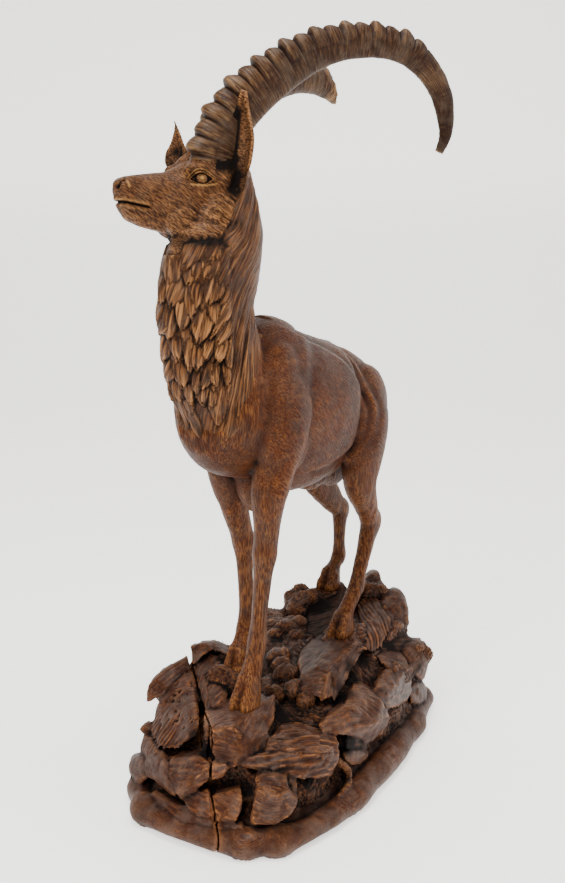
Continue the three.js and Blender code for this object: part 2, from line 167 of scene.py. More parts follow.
def unit(ways: Array) -> Array:
    """Directions of length 1, from one direction or from rows of them."""
    return ways / np.maximum(np.linalg.norm(ways, axis=-1, keepdims=True), 1e-6)


def nearest_on(path: Array, places: Array) -> Array:
    """Which place on a path is nearest to each place."""
    index = np.zeros(len(places), int)
    for start in range(0, len(places), 10000):
        gaps = places[start:start + 10000, None] - path[None]
        index[start:start + 10000] = (gaps**2).sum(2).argmin(1)
    return index


def columns(*parts: Array | float) -> Array:
    """Rows of values put together from their parts."""
    return np.stack(np.broadcast_arrays(*parts), axis=1)


def from_oval(places: Array, middle: Sequence[float], reach: Sequence[float]) -> Array:
    """Distance from the middle of an oval, which is 1 on the oval itself."""
    return np.linalg.norm((places - np.array(middle)) / np.array(reach), axis=1)


# Line of sight


@dataclass(frozen=True)
class Sight:
    """The camera's place and turn, which also set places given in the picture onto the object."""

    azimuth: float = 31.0
    pitch: float = 11.0
    place: tuple[float, float, float] = (459.0, -785.3, 483.6)
    focal: float = 1000.0
    width: int = 565
    height: int = 883

    def axes(self) -> tuple[Array, Array, Array]:
        """The directions to the picture's right, to its top and back to the eye."""
        a, p = math.radians(self.azimuth), math.radians(self.pitch)
        back = np.array([math.sin(a) * math.cos(p), -math.cos(a) * math.cos(p), math.sin(p)])
        right = np.array([math.cos(a), math.sin(a), 0])
        return right, np.cross(back, right), back

    def picture(self, co: Array) -> tuple[Array, Array, Array]:
        """Where places show in the picture, across and down, and how far away they are."""
        right, up, back = ((co - self.place) @ axis for axis in self.axes())
        return self.width / 2 - self.focal * right / back, self.height / 2 + self.focal * up / back, -back

    def ray(self, x: float, y: float) -> Array:
        """The way from the eye to a place in the picture, one unit deep."""
        right, up, back = self.axes()
        return right * (x - self.width / 2) / self.focal + up * (self.height / 2 - y) / self.focal - back


SIGHT = Sight()


class EvenedSide:
    """The evened-out side of a solid that faces the camera, for corners given in the picture."""

    left: int = 116
    top: int = 556
    step: int = 4
    across: int = 82
    down: int = 79
    softness: float = 2.2

    def __init__(self, solid: BVHTree) -> None:
        eye, back = Vector(SIGHT.place), Vector(SIGHT.axes()[2])
        depth = np.full((self.down, self.across), np.nan)
        for row, column in np.ndindex(depth.shape):
            ray = SIGHT.ray(self.left + self.step * column, self.top + self.step * row)
            hit = solid.ray_cast(eye, Vector(ray))[0]
            if hit:
                depth[row, column] = (eye - hit).dot(back)
        known = np.argwhere(~np.isnan(depth))
        for spot in np.argwhere(np.isnan(depth)):
            depth[tuple(spot)] = depth[tuple(known[((known - spot) ** 2).sum(1).argmin()])]
        reach = int(4 * self.softness + 0.5)
        weights = bell(np.arange(-reach, reach + 1), self.softness * math.sqrt(2))
        for _ in "xy":
            padded = np.pad(depth, ((reach, reach), (0, 0)), mode="symmetric")
            depth = sum(w * padded[k:k + len(depth)] for k, w in enumerate(weights / weights.sum())).T
        self.depth = depth

    def at(self, x: float, y: float, lift: float = 0.0) -> Array:
        """A place in the picture, lifted off the side towards the eye by some millimetres."""
        column = np.clip((x - self.left) / self.step, 0, self.across - 1.001)
        row = np.clip((y - self.top) / self.step, 0, self.down - 1.001)
        i, j = int(column), int(row)
        upper, lower = (self.depth[k, i:i + 2] @ [i + 1 - column, column - i] for k in (j, j + 1))
        return SIGHT.place + SIGHT.ray(x, y) * (upper * (j + 1 - row) + lower * (row - j) - lift)


# Rough forms


def swept(stations: Knots, sides: int, rings: int, side: Sequence[float] = (1, 0, 0), cap: float = 0.3,
          swell: Optional[Callable[[Array, Array], Array]] = None) -> Form:
    """A closed form over ovals, made by moving the rings of a sphere.

    Args:
        stations: Rows of x, y, z, half width, reach above, reach below.
        sides: Corners of each ring.
        rings: Number of rings.
        side: The direction of the half width at the start.
        cap: How far the rounded ends stand out, as a share of the end ring.
        swell: Scales the reach by share and turn.

    Returns:
        The form as a bmesh.
    """
    shares = np.linspace(0, 1, rings)
    rows = spline(stations, shares)
    centres, girths = rows[:, :3], rows[:, 3:6]
    tangents = unit(np.gradient(centres, axis=0))
    above = unit(np.cross(side, tangents))
    across = np.cross(tangents, above)
    form = bmesh.new()
    bmesh.ops.create_uvsphere(form, u_segments=sides, v_segments=rings + 1, radius=1)
    places = np.array([v.co for v in form.verts])
    row = np.rint(np.arccos(np.clip(places[:, 2], -1, 1)) / math.pi * (rings + 1)).astype(int)
    turn = np.arctan2(places[:, 1], places[:, 0])
    ring = np.clip(row - 1, 0, rings - 1)
    girth = girths[ring]
    grown = np.ones(len(places)) if swell is None else swell(shares[ring], turn)
    rise = np.where(np.sin(turn) > 0, girth[:, 1], girth[:, 2]) * np.sin(turn) * grown
    spread = np.cos(turn) * girth[:, 0] * grown
    moved = centres[ring] + across[ring] * spread[:, None] + above[ring] * rise[:, None]
    for end, way in ((0, -1), (rings + 1, 1)):
        pole = row == end
        reach = cap * girths[min(max(end - 1, 0), rings - 1)].min()
        moved[pole] = centres[ring[pole]] + way * reach * tangents[ring[pole]]
    for vert, place in zip(form.verts, moved):
        vert.co = place
    return form


def ball(
    centre: Sequence[float], reach: Sequence[float], turns: Sequence[float] = (0, 0, 0)
) -> Form:
    """An oval muscle or knob, with its half sizes and its turns about X, Y and Z in degrees."""
    form = bmesh.new()
    placing = Matrix.Translation(centre)
    for angle, axis in zip(turns, "XYZ"):
        placing = placing @ Matrix.Rotation(math.radians(angle), 4, axis)
    bmesh.ops.create_icosphere(form, subdivisions=4, radius=1, matrix=placing @ Matrix.Diagonal((*reach, 1)))
    return form


def mirrored(form: Form) -> Form:
    """A copy of a form on the animal's other side, its faces still pointing out."""
    other = form.copy()
    bmesh.ops.scale(other, vec=(-1, 1, 1), verts=other.verts)
    bmesh.ops.reverse_faces(other, faces=other.faces)
    return other


def fused(forms: Iterable[Form], grain: float, placing: Matrix = Matrix()) -> bpy.types.Mesh:
    """Joins closed forms into one skin of even squares.

    Args:
        forms: The forms, which are used up.
        grain: Size of the squares in millimetres.
        placing: A last placing of the forms.

    Returns:
        The skin as a mesh.
    """
    heap = bmesh.new()
    scratch = bpy.data.meshes.new("scratch")
    for form in forms:
        form.to_mesh(scratch)
        heap.from_mesh(scratch)
        form.free()
    heap.transform(placing)
    heap.to_mesh(scratch)
    heap.free()
    holder = bpy.data.objects.new("scratch", scratch)
    bpy.context.scene.collection.objects.link(holder)
    remesh = holder.modifiers.new("skin", "REMESH")
    remesh.mode = "VOXEL"
    remesh.voxel_size = grain
    remesh.adaptivity = 0
    view = bpy.context.evaluated_depsgraph_get()
    mesh = bpy.data.meshes.new_from_object(holder.evaluated_get(view), depsgraph=view)
    bpy.data.objects.remove(holder)
    bpy.data.meshes.remove(scratch)
    whole = form_of(mesh)
    keep_whole(whole)
    whole.to_mesh(mesh)
    whole.free()
    return mesh


def form_of(mesh: bpy.types.Mesh) -> Form:
    """A mesh as a form."""
    form = bmesh.new()
    form.from_mesh(mesh)
    return form


def keep_whole(form: Form) -> None:
    """Drops loose crumbs: only the largest connected part stays."""
    left = set(form.verts)
    largest: set[bmesh.types.BMVert] = set()
    while left and len(largest) < len(left):
        start = left.pop()
        part, front = {start}, [start]
        while front:
            for edge in front.pop().link_edges:
                for vert in edge.verts:
                    if vert in left:
                        left.discard(vert)
                        part.add(vert)
                        front.append(vert)
        if len(part) > len(largest):
            largest = part
    bmesh.ops.delete(form, geom=[v for v in form.verts if v not in largest], context="VERTS")


# Carving


class Skin:
    """A dense skin that is carved by moving its points."""

    def __init__(self, mesh: bpy.types.Mesh) -> None:
        self.mesh = mesh
        self.marks: dict[str, Array] = {}
        self.read()

    def read(self) -> None:
        """Takes the places and edges from the mesh."""
        count = len(self.mesh.vertices)
        self.co = np.empty(count * 3, np.float32)
        self.mesh.vertices.foreach_get("co", self.co)
        self.co = self.co.reshape(-1, 3).astype(float)
        edges = np.empty(len(self.mesh.edges) * 2, np.int32)
        self.mesh.edges.foreach_get("vertices", edges)
        self.edges = edges.reshape(-1, 2)
        self.valence = np.maximum(np.bincount(self.edges.ravel(), minlength=count), 1)

    def write(self) -> None:
        """Puts the places back into the mesh."""
        self.mesh.vertices.foreach_set("co", self.co.astype(np.float32).ravel())
        self.mesh.update()

    def normals(self) -> Array:
        """The outward direction at each point."""
        self.write()
        out = np.empty(len(self.co) * 3, np.float32)
        self.mesh.vertex_normals.foreach_get("vector", out)
        return out.reshape(-1, 3).astype(float)

    def around(self, values: Array) -> Array:
        """The mean of each point's neighbours."""
        a, b = self.edges.T
        flat = values.reshape(len(values), -1)
        count = len(values)
        total = columns(*(np.bincount(a, c[b], count) + np.bincount(b, c[a], count) for c in flat.T))
        return (total / self.valence[:, None]).reshape(values.shape)

    def smoothed(self, values: Array, times: int) -> Array:
        """Values evened out over the skin."""
        for _ in range(times):
            values = 0.5 * values + 0.5 * self.around(values)
        return values

    def smooth(self, times: int, weight: Optional[Array] = None) -> None:
        """Evens out the skin, where weight is 1, and gives back most of what it shrinks by."""
        pull, given_back = 0.6, 0.8
        before = self.co.copy()
        weight = np.ones(len(self.co)) if weight is None else weight
        for _ in range(times):
            self.co += (pull * weight)[:, None] * (self.around(self.co) - self.co)
        lost = self.smoothed(before - self.co, times)
        self.co += given_back * weight[:, None] * lost

    def push(self, heights: Array) -> None:
        """Moves each point out along its normal."""
        self.co += heights[:, None] * self.normals()

    def refine(self, wanted: Array) -> None:
        """Cuts the edges between the wanted points in half."""
        self.write()
        form = form_of(self.mesh)
        form.verts.ensure_lookup_table()
        edges = [e for e in form.edges if wanted[e.verts[0].index] and wanted[e.verts[1].index]]
        bmesh.ops.subdivide_edges(form, edges=edges, cuts=1, use_grid_fill=True, smooth=0)
        form.to_mesh(self.mesh)
        form.free()
        self.read()

    def hollows(self, times: int) -> Array:
        """How far each point lies below its surroundings, in millimetres."""
        lifted = self.smoothed(self.co, times) - self.co
        return np.einsum("ij,ij->i", lifted, self.normals())

    def mark(self, name: str, values: Array) -> None:
        """Keeps one value, or one place, for each point, for the finish to read."""
        self.marks[name] = values

    def mark_relief(self, fine: float = 0.35, broad: float = 1.6) -> None:
        """Marks cuts and raised edges for the finish: cuts darken as patina and painted shade, edges lighten
        as rubbed wear and painted highlight.

        Args:
            fine: Depth of a fine cut that counts in full.
            broad: Depth of a broad hollow that counts in full.
        """
        small = self.smoothed(self.hollows(3), 1) / fine
        large = self.hollows(26) / broad
        # Hollows darken as patina and painted shade; raised edges lighten as rubbed wear and painted
        # highlight.
        self.mark("cut", np.clip(0.6 * np.maximum(small, 0) + 0.75 * np.maximum(large, 0), 0, 1))
        self.mark("edge", np.clip(0.7 * np.maximum(-small, 0) + 0.45 * np.maximum(-large, 0), 0, 1))

    def finished(self, name: str, finish: "WoodFinish", *nodes: str) -> Piece:
        """Makes the skin a piece of the scene, in metres.

        Args:
            name: The piece's name.
            finish: What it is dressed with.
            nodes: The solids that it stands for.

        Returns:
            The piece.
        """
        self.write()
        self.mesh.transform(Matrix.Scale(MM, 4))
        self.mesh.update()
        self.mesh.name = name
        self.mesh.polygons.foreach_set("use_smooth", [True] * len(self.mesh.polygons))
        for label, values in self.marks.items():
            kind = "FLOAT" if values.ndim == 1 else "FLOAT_VECTOR"
            key = "value" if values.ndim == 1 else "vector"
            layer = self.mesh.attributes.new(label, kind, "POINT")
            layer.data.foreach_set(key, values.astype(np.float32).ravel())
        piece = bpy.data.objects.new(name, self.mesh)
        bpy.context.scene.collection.objects.link(piece)
        self.mesh.materials.clear()
        self.mesh.materials.append(finish.material())
        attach(piece, "root")
        if nodes:
            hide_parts(*nodes)
        triangles = sum(len(p.vertices) - 2 for p in self.mesh.polygons)
        if triangles > MOST_TRIANGLES:
            thinned = piece.modifiers.new("thinned", "DECIMATE")
            thinned.ratio = MOST_TRIANGLES / triangles
        log.info("%s: %d triangles", name, triangles)
        return piece


# Finishes


class NodeSheet:
    """A node tree being drawn up, with short ways to add and wire its nodes."""

    def __init__(self, tree: bpy.types.NodeTree) -> None:
        self.tree = tree

    def add(self, kind: str, **settings: object) -> bpy.types.Node:
        """A new node with some of its settings."""
        node = self.tree.nodes.new(kind)
        for name, value in settings.items():
            setattr(node, name, value)
        return node

    def feed(self, socket: Socket, value: object) -> None:
        """Wires a socket to another, or sets it to a plain value."""
        if isinstance(value, Socket):
            self.tree.links.new(value, socket)
        else:
            socket.default_value = value

    def number(
        self, operation: str, a: object, b: object = 0.0, clamp: bool = False
    ) -> Socket:
        """A sum on one or two numbers."""
        node = self.add("ShaderNodeMath", operation=operation, use_clamp=clamp)
        self.feed(node.inputs[0], a)
        self.feed(node.inputs[1], b)
        return node.outputs[0]

    def stretch(
        self, place: object, scale: Sequence[float], turns: Sequence[float] = (0, 0, 0)
    ) -> Socket:
        """A place turned and then stretched, for a pattern with a direction."""
        turned = self.add("ShaderNodeMapping", vector_type="POINT")
        self.feed(turned.inputs["Vector"], place)
        turned.inputs["Rotation"].default_value = [math.radians(t) for t in turns]
        scaled = self.add("ShaderNodeMapping", vector_type="POINT")
        self.feed(scaled.inputs["Vector"], turned.outputs[0])
        scaled.inputs["Scale"].default_value = scale
        return scaled.outputs[0]

    def mottle(
        self, place: object, scale: float, detail: float = 3, roughness: float = 0.55
    ) -> Socket:
        """Noise from 0 to 1."""
        node = self.add("ShaderNodeTexNoise", noise_dimensions="3D")
        self.feed(node.inputs["Vector"], place)
        node.inputs["Scale"].default_value = scale
        node.inputs["Detail"].default_value = detail
        node.inputs["Roughness"].default_value = roughness
        return node.outputs[0]

    def between(
        self, value: object, low: float, high: float, to_low: float = 0, to_high: float = 1
    ) -> Socket:
        """A number taken from one range to another, held at its ends."""
        node = self.add("ShaderNodeMapRange", clamp=True)
        names = ("Value", "From Min", "From Max", "To Min", "To Max")
        for name, number in zip(names, (value, low, high, to_low, to_high)):
            self.feed(node.inputs[name], number)
        return node.outputs[0]

    def blend(self, share: object, a: object, b: object) -> Socket:
        """A colour between a and b."""
        node = self.add("ShaderNodeMix", data_type="RGBA", clamp_factor=True)
        self.feed(node.inputs[0], share)
        self.feed(node.inputs[6], a)
        self.feed(node.inputs[7], b)
        return node.outputs[2]

    def weigh(self, share: object, a: object, b: object) -> Socket:
        """A number between a and b."""
        node = self.add("ShaderNodeMix", data_type="FLOAT", clamp_factor=True)
        self.feed(node.inputs[0], share)
        self.feed(node.inputs[2], a)
        self.feed(node.inputs[3], b)
        return node.outputs[0]

    def mark(self, name: str, vector: bool = False) -> Socket:
        """A mark that the carving left on the skin."""
        node = self.add("ShaderNodeAttribute", attribute_type="GEOMETRY", attribute_name=name)
        return node.outputs["Vector" if vector else "Fac"]


Colour = tuple[float, float, float, float]


def stained(red: float, green: float, blue: float) -> Colour:
    """A colour given as the eye reads it, from 0 to 255."""
    line = [c / 255 for c in (red, green, blue)]
    return tuple((c / 12.92 if c <= 0.04045 else ((c + 0.055) / 1.055) ** 2.4) for c in line) + (1.0,)


# The black of the deepest cuts, as patina and painted shade.
BLACK: Colour = (0.004, 0.0025, 0.002, 1)
# The gold of painted highlights on the eye, lids, nostrils and lips.
GILT_HIGHLIGHT = stained(184, 136, 74)

PLACES = ("Place", "Stroke Place", "Down Place")
MARKS = ("Down", "Cut", "Edge", "Patch", "Gilt_Highlight")
SHARES = ("Dusting", "Streak")
STAINS = ("Shadow", "Body", "Warm", "Worn_And_Highlight", "Dust")


def worn_wood_group() -> bpy.types.NodeTree:
    """The node group of stained carved wood: darkened in the cuts as patina and painted shade, lightened to
    gold on the edges as rubbed wear and painted highlight.

    Returns:
        The group, built once.
    """
    made = bpy.data.node_groups.get("worn_wood")
    if made:
        return made
    tree = bpy.data.node_groups.new("worn_wood", "ShaderNodeTree")
    for names, way, kind in (
        (PLACES, "INPUT", "Vector"), (MARKS + SHARES, "INPUT", "Float"), (STAINS, "INPUT", "Color"),
        (("Color",), "OUTPUT", "Color"), (("Roughness", "Wax", "Height"), "OUTPUT", "Float"),
    ):
        for name in names:
            tree.interface.new_socket(name=name, in_out=way, socket_type="NodeSocket" + kind)
    sheet = NodeSheet(tree)
    given = sheet.add("NodeGroupInput").outputs
    result = sheet.add("NodeGroupOutput").inputs
    cut = given["Cut"]
    along = sheet.mottle(given["Stroke Place"], 1.0, detail=2.5, roughness=0.6)
    down = sheet.mottle(given["Down Place"], 1.0, detail=2.5, roughness=0.6)
    stroke = sheet.between(sheet.weigh(given["Down"], along, down), 0.35, 0.65)
    broad = sheet.between(sheet.mottle(given["Place"], 17, detail=3), 0.35, 0.65)
    mottle = sheet.between(sheet.mottle(given["Place"], 75, detail=4, roughness=0.65), 0.32, 0.68)
    wood = sheet.blend(broad, given["Body"], given["Warm"])
    wood = sheet.blend(sheet.number("MULTIPLY", mottle, 0.45), wood, given["Shadow"])
    furrow = sheet.number("MULTIPLY", sheet.between(stroke, 0, 0.9, 1, 0), given["Streak"])
    wood = sheet.blend(furrow, wood, given["Shadow"])
    dusting = sheet.number("MULTIPLY", sheet.between(mottle, 0.35, 0.8), given["Dusting"])
    wood = sheet.blend(dusting, wood, given["Dust"])
    fleck = sheet.number("MULTIPLY", sheet.between(broad, 0.2, 0.9, 0.1, 0.5), given["Streak"])
    # Rubbed wear and painted highlight: edges, patches and flecks are lit towards the worn colour.
    worn_and_highlight = sheet.number("ADD", sheet.number("ADD", given["Edge"], given["Patch"]), fleck)
    lit = sheet.number("MULTIPLY", worn_and_highlight, sheet.between(stroke, 0.25, 0.9, 0.12, 1.15))
    wood = sheet.blend(sheet.number("MULTIPLY", lit, 0.85, clamp=True), wood, given["Worn_And_Highlight"])
    # Patina and painted shade: the cut mark darkens cuts and recesses towards the shadow colour, the deepest
    # to black.
    wood = sheet.blend(sheet.between(cut, 0.08, 0.95, 0, 0.96), wood, given["Shadow"])
    wood = sheet.blend(sheet.between(cut, 0.5, 1.0, 0, 0.8), wood, BLACK)
    # Painted highlight: the face's gold is blended in over the rest.
    wood = sheet.blend(sheet.number("MULTIPLY", given["Gilt_Highlight"], 0.8, clamp=True), wood, GILT_HIGHLIGHT)
    shine = sheet.weigh(lit, sheet.weigh(mottle, 0.34, 0.52), 0.36)
    bare = sheet.number("SUBTRACT", 1.0, sheet.number("MULTIPLY", cut, 1.6), clamp=True)
    wax = sheet.number("MULTIPLY", bare, sheet.between(mottle, 0.25, 0.9, 0.0, 0.15))
    ridges, pores = sheet.number("MULTIPLY", stroke, 0.8), sheet.number("MULTIPLY", mottle, 0.25)
    height = sheet.number("ADD", ridges, pores)
    sheet.feed(result["Color"], wood)
    sheet.feed(result["Roughness"], sheet.weigh(cut, shine, 0.75))
    sheet.feed(result["Wax"], wax)
    sheet.feed(result["Height"], height)
    return tree


@dataclass(frozen=True)
class WoodFinish:
    """A stained and waxed wood, with its colours and the direction of its tool strokes."""

    name: str
    slot: Slot
    shadow: Colour
    body: Colour
    warm: Colour
    worn_and_highlight: Colour
    dust: Colour = stained(120, 104, 92)
    dusting: float = 0.15
    stroke_mark: Optional[str] = None
    stroke_scale: tuple[float, float, float] = (0.5, 0.05, 0.5)
    stroke_turns: tuple[float, float, float] = (0, 0, 0)
    down_scale: tuple[float, float, float] = (620, 620, 75)
    relief: float = 0.35
    streak: float = 0.6

    def material(self) -> bpy.types.Material:
        """The finish as a material, built once."""
        made = bpy.data.materials.get(self.name)
        if made:
            return made
        made = bpy.data.materials.new(self.name)
        made.use_nodes = True
        made.node_tree.nodes.clear()
        sheet = NodeSheet(made.node_tree)
        place = sheet.add("ShaderNodeTexCoord").outputs["Object"]
        wood = sheet.add("ShaderNodeGroup", node_tree=worn_wood_group())
        strokes = sheet.mark(self.stroke_mark, vector=True) if self.stroke_mark else place
        sheet.feed(wood.inputs["Place"], place)
        sheet.feed(wood.inputs["Stroke Place"], sheet.stretch(strokes, self.stroke_scale, self.stroke_turns))
        sheet.feed(wood.inputs["Down Place"], sheet.stretch(place, self.down_scale))
        for name in MARKS:
            sheet.feed(wood.inputs[name], sheet.mark(name.lower()))
        for name in STAINS + SHARES:
            wood.inputs[name].default_value = getattr(self, name.lower())
        bump = sheet.add("ShaderNodeBump")
        bump.inputs["Strength"].default_value = 0.9
        bump.inputs["Distance"].default_value = self.relief * MM
        sheet.feed(bump.inputs["Height"], wood.outputs["Height"])
        shader = sheet.add("ShaderNodeBsdfPrincipled")
        for socket, value in (
            ("Base Color", wood.outputs["Color"]), ("Roughness", wood.outputs["Roughness"]),
            ("Normal", bump.outputs["Normal"]), ("Specular IOR Level", 0.08),
            ("Coat Weight", wood.outputs["Wax"]), ("Coat Roughness", 0.4),
        ):
            sheet.feed(shader.inputs[socket], value)
        sheet.feed(sheet.add("ShaderNodeOutputMaterial").inputs["Surface"], shader.outputs[0])
        return made


FIGURE_FINISH = WoodFinish(
    "trunk_stain", Slot.FIGURE,
    shadow=stained(16, 7, 4), body=stained(58, 25, 12), warm=stained(78, 33, 14), worn_and_highlight=stained(134, 84, 42),
    dust=stained(80, 56, 40), stroke_scale=(820, 110, 760), stroke_turns=(38, 0, 0),
    down_scale=(780, 780, 100), relief=0.8, streak=0.42,
)
MANE_FINISH = WoodFinish(
    "mane_stain", Slot.FIGURE,
    shadow=stained(15, 7, 4), body=stained(58, 28, 16), warm=stained(76, 35, 17), worn_and_highlight=stained(152, 104, 62),
    dust=stained(96, 72, 56), stroke_mark="strand", relief=0.8, streak=0.9,
)
HORN_FINISH = WoodFinish(
    "horn_stain", Slot.HORN,
    shadow=stained(11, 6, 5), body=stained(38, 21, 15), warm=stained(50, 29, 20), worn_and_highlight=stained(146, 110, 74),
    dust=stained(92, 74, 58), dusting=0.25, stroke_mark="strand", stroke_scale=(0.8, 0.08, 0.6), relief=0.4,
    streak=0.16,
)
BASE_FINISH = WoodFinish(
    "base_stain", Slot.BASE,
    shadow=stained(9, 5, 4), body=stained(42, 22, 16), warm=stained(58, 29, 19), worn_and_highlight=stained(146, 92, 52),
    dust=stained(96, 76, 66), dusting=0.35, stroke_mark="strand", relief=0.3,
    streak=0.12,
)


# The animal


NECK: Knots = (
    (0, -104, 545, 18, 19, 22),
    (0, -110, 530, 24, 27.5, 30),
    (0, -115, 510, 28, 40, 36),
    (0, -119, 490, 30, 46.5, 40),
    (0, -130, 465, 32, 50, 45),
    (0, -136, 440, 33, 44, 42),
    (0, -134, 409, 34, 50, 38),
    (0, -124, 372, 36, 55, 37),
    (0, -110, 340, 35, 46, 34),
)


class NeckMap:
    """Reads places round the neck as down-the-neck and round-the-neck millimetres."""

    def __init__(self) -> None:
        self.path = spline(NECK, np.linspace(0, 1, 240))[:, :3]
        steps = np.linalg.norm(np.diff(self.path, axis=0), axis=1)
        self.length = np.concatenate([[0], np.cumsum(steps)])
        self.tangent = unit(np.gradient(self.path, axis=0))

    def read(self, co: Array) -> tuple[Array, Array]:
        """Maps places.

        Args:
            co: Places in millimetres.

        Returns:
            Distance down the neck, and angle from the throat towards the left.
        """
        index = nearest_on(self.path[:, 1:], co[:, 1:])
        from_path = co - self.path[index]
        tangent = self.tangent[index]
        ahead = from_path[:, 1] * tangent[:, 2] - from_path[:, 2] * tangent[:, 1]
        beyond = np.einsum("ij,ij->i", from_path, tangent)
        return self.length[index] + beyond, np.arctan2(co[:, 0], ahead)


@dataclass(frozen=True)
class Lock:
    """A lock of hair on the unrolled neck: its root, its tip, half its width, its bow and its gold, which
    lightens its tip as wear and painted highlight.
    """

    root_down: float
    root_across: float
    tip_down: float
    tip_across: float
    half: float
    bow: float = 0.0
    gold: float = 0.2

    def across(self) -> "Lock":
        """The lock on the mane's other side."""
        return replace(self, root_across=-self.root_across, tip_across=-self.tip_across, bow=-self.bow)


# The locks that show in the picture: root and tip, each across and down, half width, bow and gold, which is
# wear and painted highlight on the tip
LOCKS = (
    (163, 246, 160, 274, 5, 0, 0.5), (170, 248, 167, 273, 5.5, 0, 0.5), (178, 238, 175, 262, 7, 0, 0.2),
    (180, 252, 176, 277, 6, 0, 0.4), (185, 264, 183, 291, 6, 0, 0.6), (190, 236, 189, 258, 6.5, 0, 0.1),
    (194, 246, 194, 263, 4, 0, 0.6), (201, 256, 190, 288, 8, 1, 0.3), (209, 256, 203, 283, 7, 0, 0.6),
    (210, 238, 206, 257, 6, 0, 0.2), (216, 243, 217, 263, 4.5, 0, 0.5), (223, 238, 221, 262, 5, 0, 0.3),
    (222, 256, 216, 281, 7, 1, 0.9), (229, 258, 227, 282, 5.5, 1, 0.4), (214, 278, 208, 308, 8, 0, 0.9),
    (203, 283, 196, 314, 7.5, 0, 0.3), (192, 288, 189, 324, 8, 0, 0.3), (223, 280, 220, 302, 5.5, 0, 0.2),
    (182, 294, 178, 335, 8.5, 0, 1), (172, 276, 166, 308, 8, 0, 0.3), (161, 278, 157, 306, 5, 0, 0.5),
    (219, 303, 216, 330, 5.5, 0, 0.9), (205, 312, 196, 347, 9, 1, 0.7), (243, 294, 211, 342, 4.5, -2, 0.8),
    (160, 308, 157, 334, 6, 0, 0.1), (168, 310, 167, 345, 6, 0, 0.3), (236, 322, 216, 352, 5, -1, 0.3),
    (214, 341, 202, 367, 6, 0, 0.9), (226, 336, 218, 367, 7, 0, 0.7), (185, 338, 186, 379, 5.5, 0, 1),
    (174, 338, 176, 364, 6, 0, 0.3), (163, 336, 161, 363, 5, 0, 0.2), (196, 348, 196, 374, 6, 0, 0.1),
    (237, 338, 232, 374, 5, -1, 0.4), (210, 364, 199, 395, 6, 0, 0.4), (218, 364, 217, 393, 6, 0, 0.8),
    (198, 374, 194, 401, 5, 0, 0.3), (176, 362, 180, 393, 6, 0, 0.5), (165, 362, 163, 382, 4.5, 0, 0.2),
    (227, 366, 228, 390, 5, 1, 0.4), (186, 384, 190, 410, 6, 0, 0.3), (205, 388, 202, 410, 5, 0, 0.2),
    (172, 380, 178, 405, 5, 0, 0.3), (212, 392, 210, 414, 5, 0, 0.2),
)


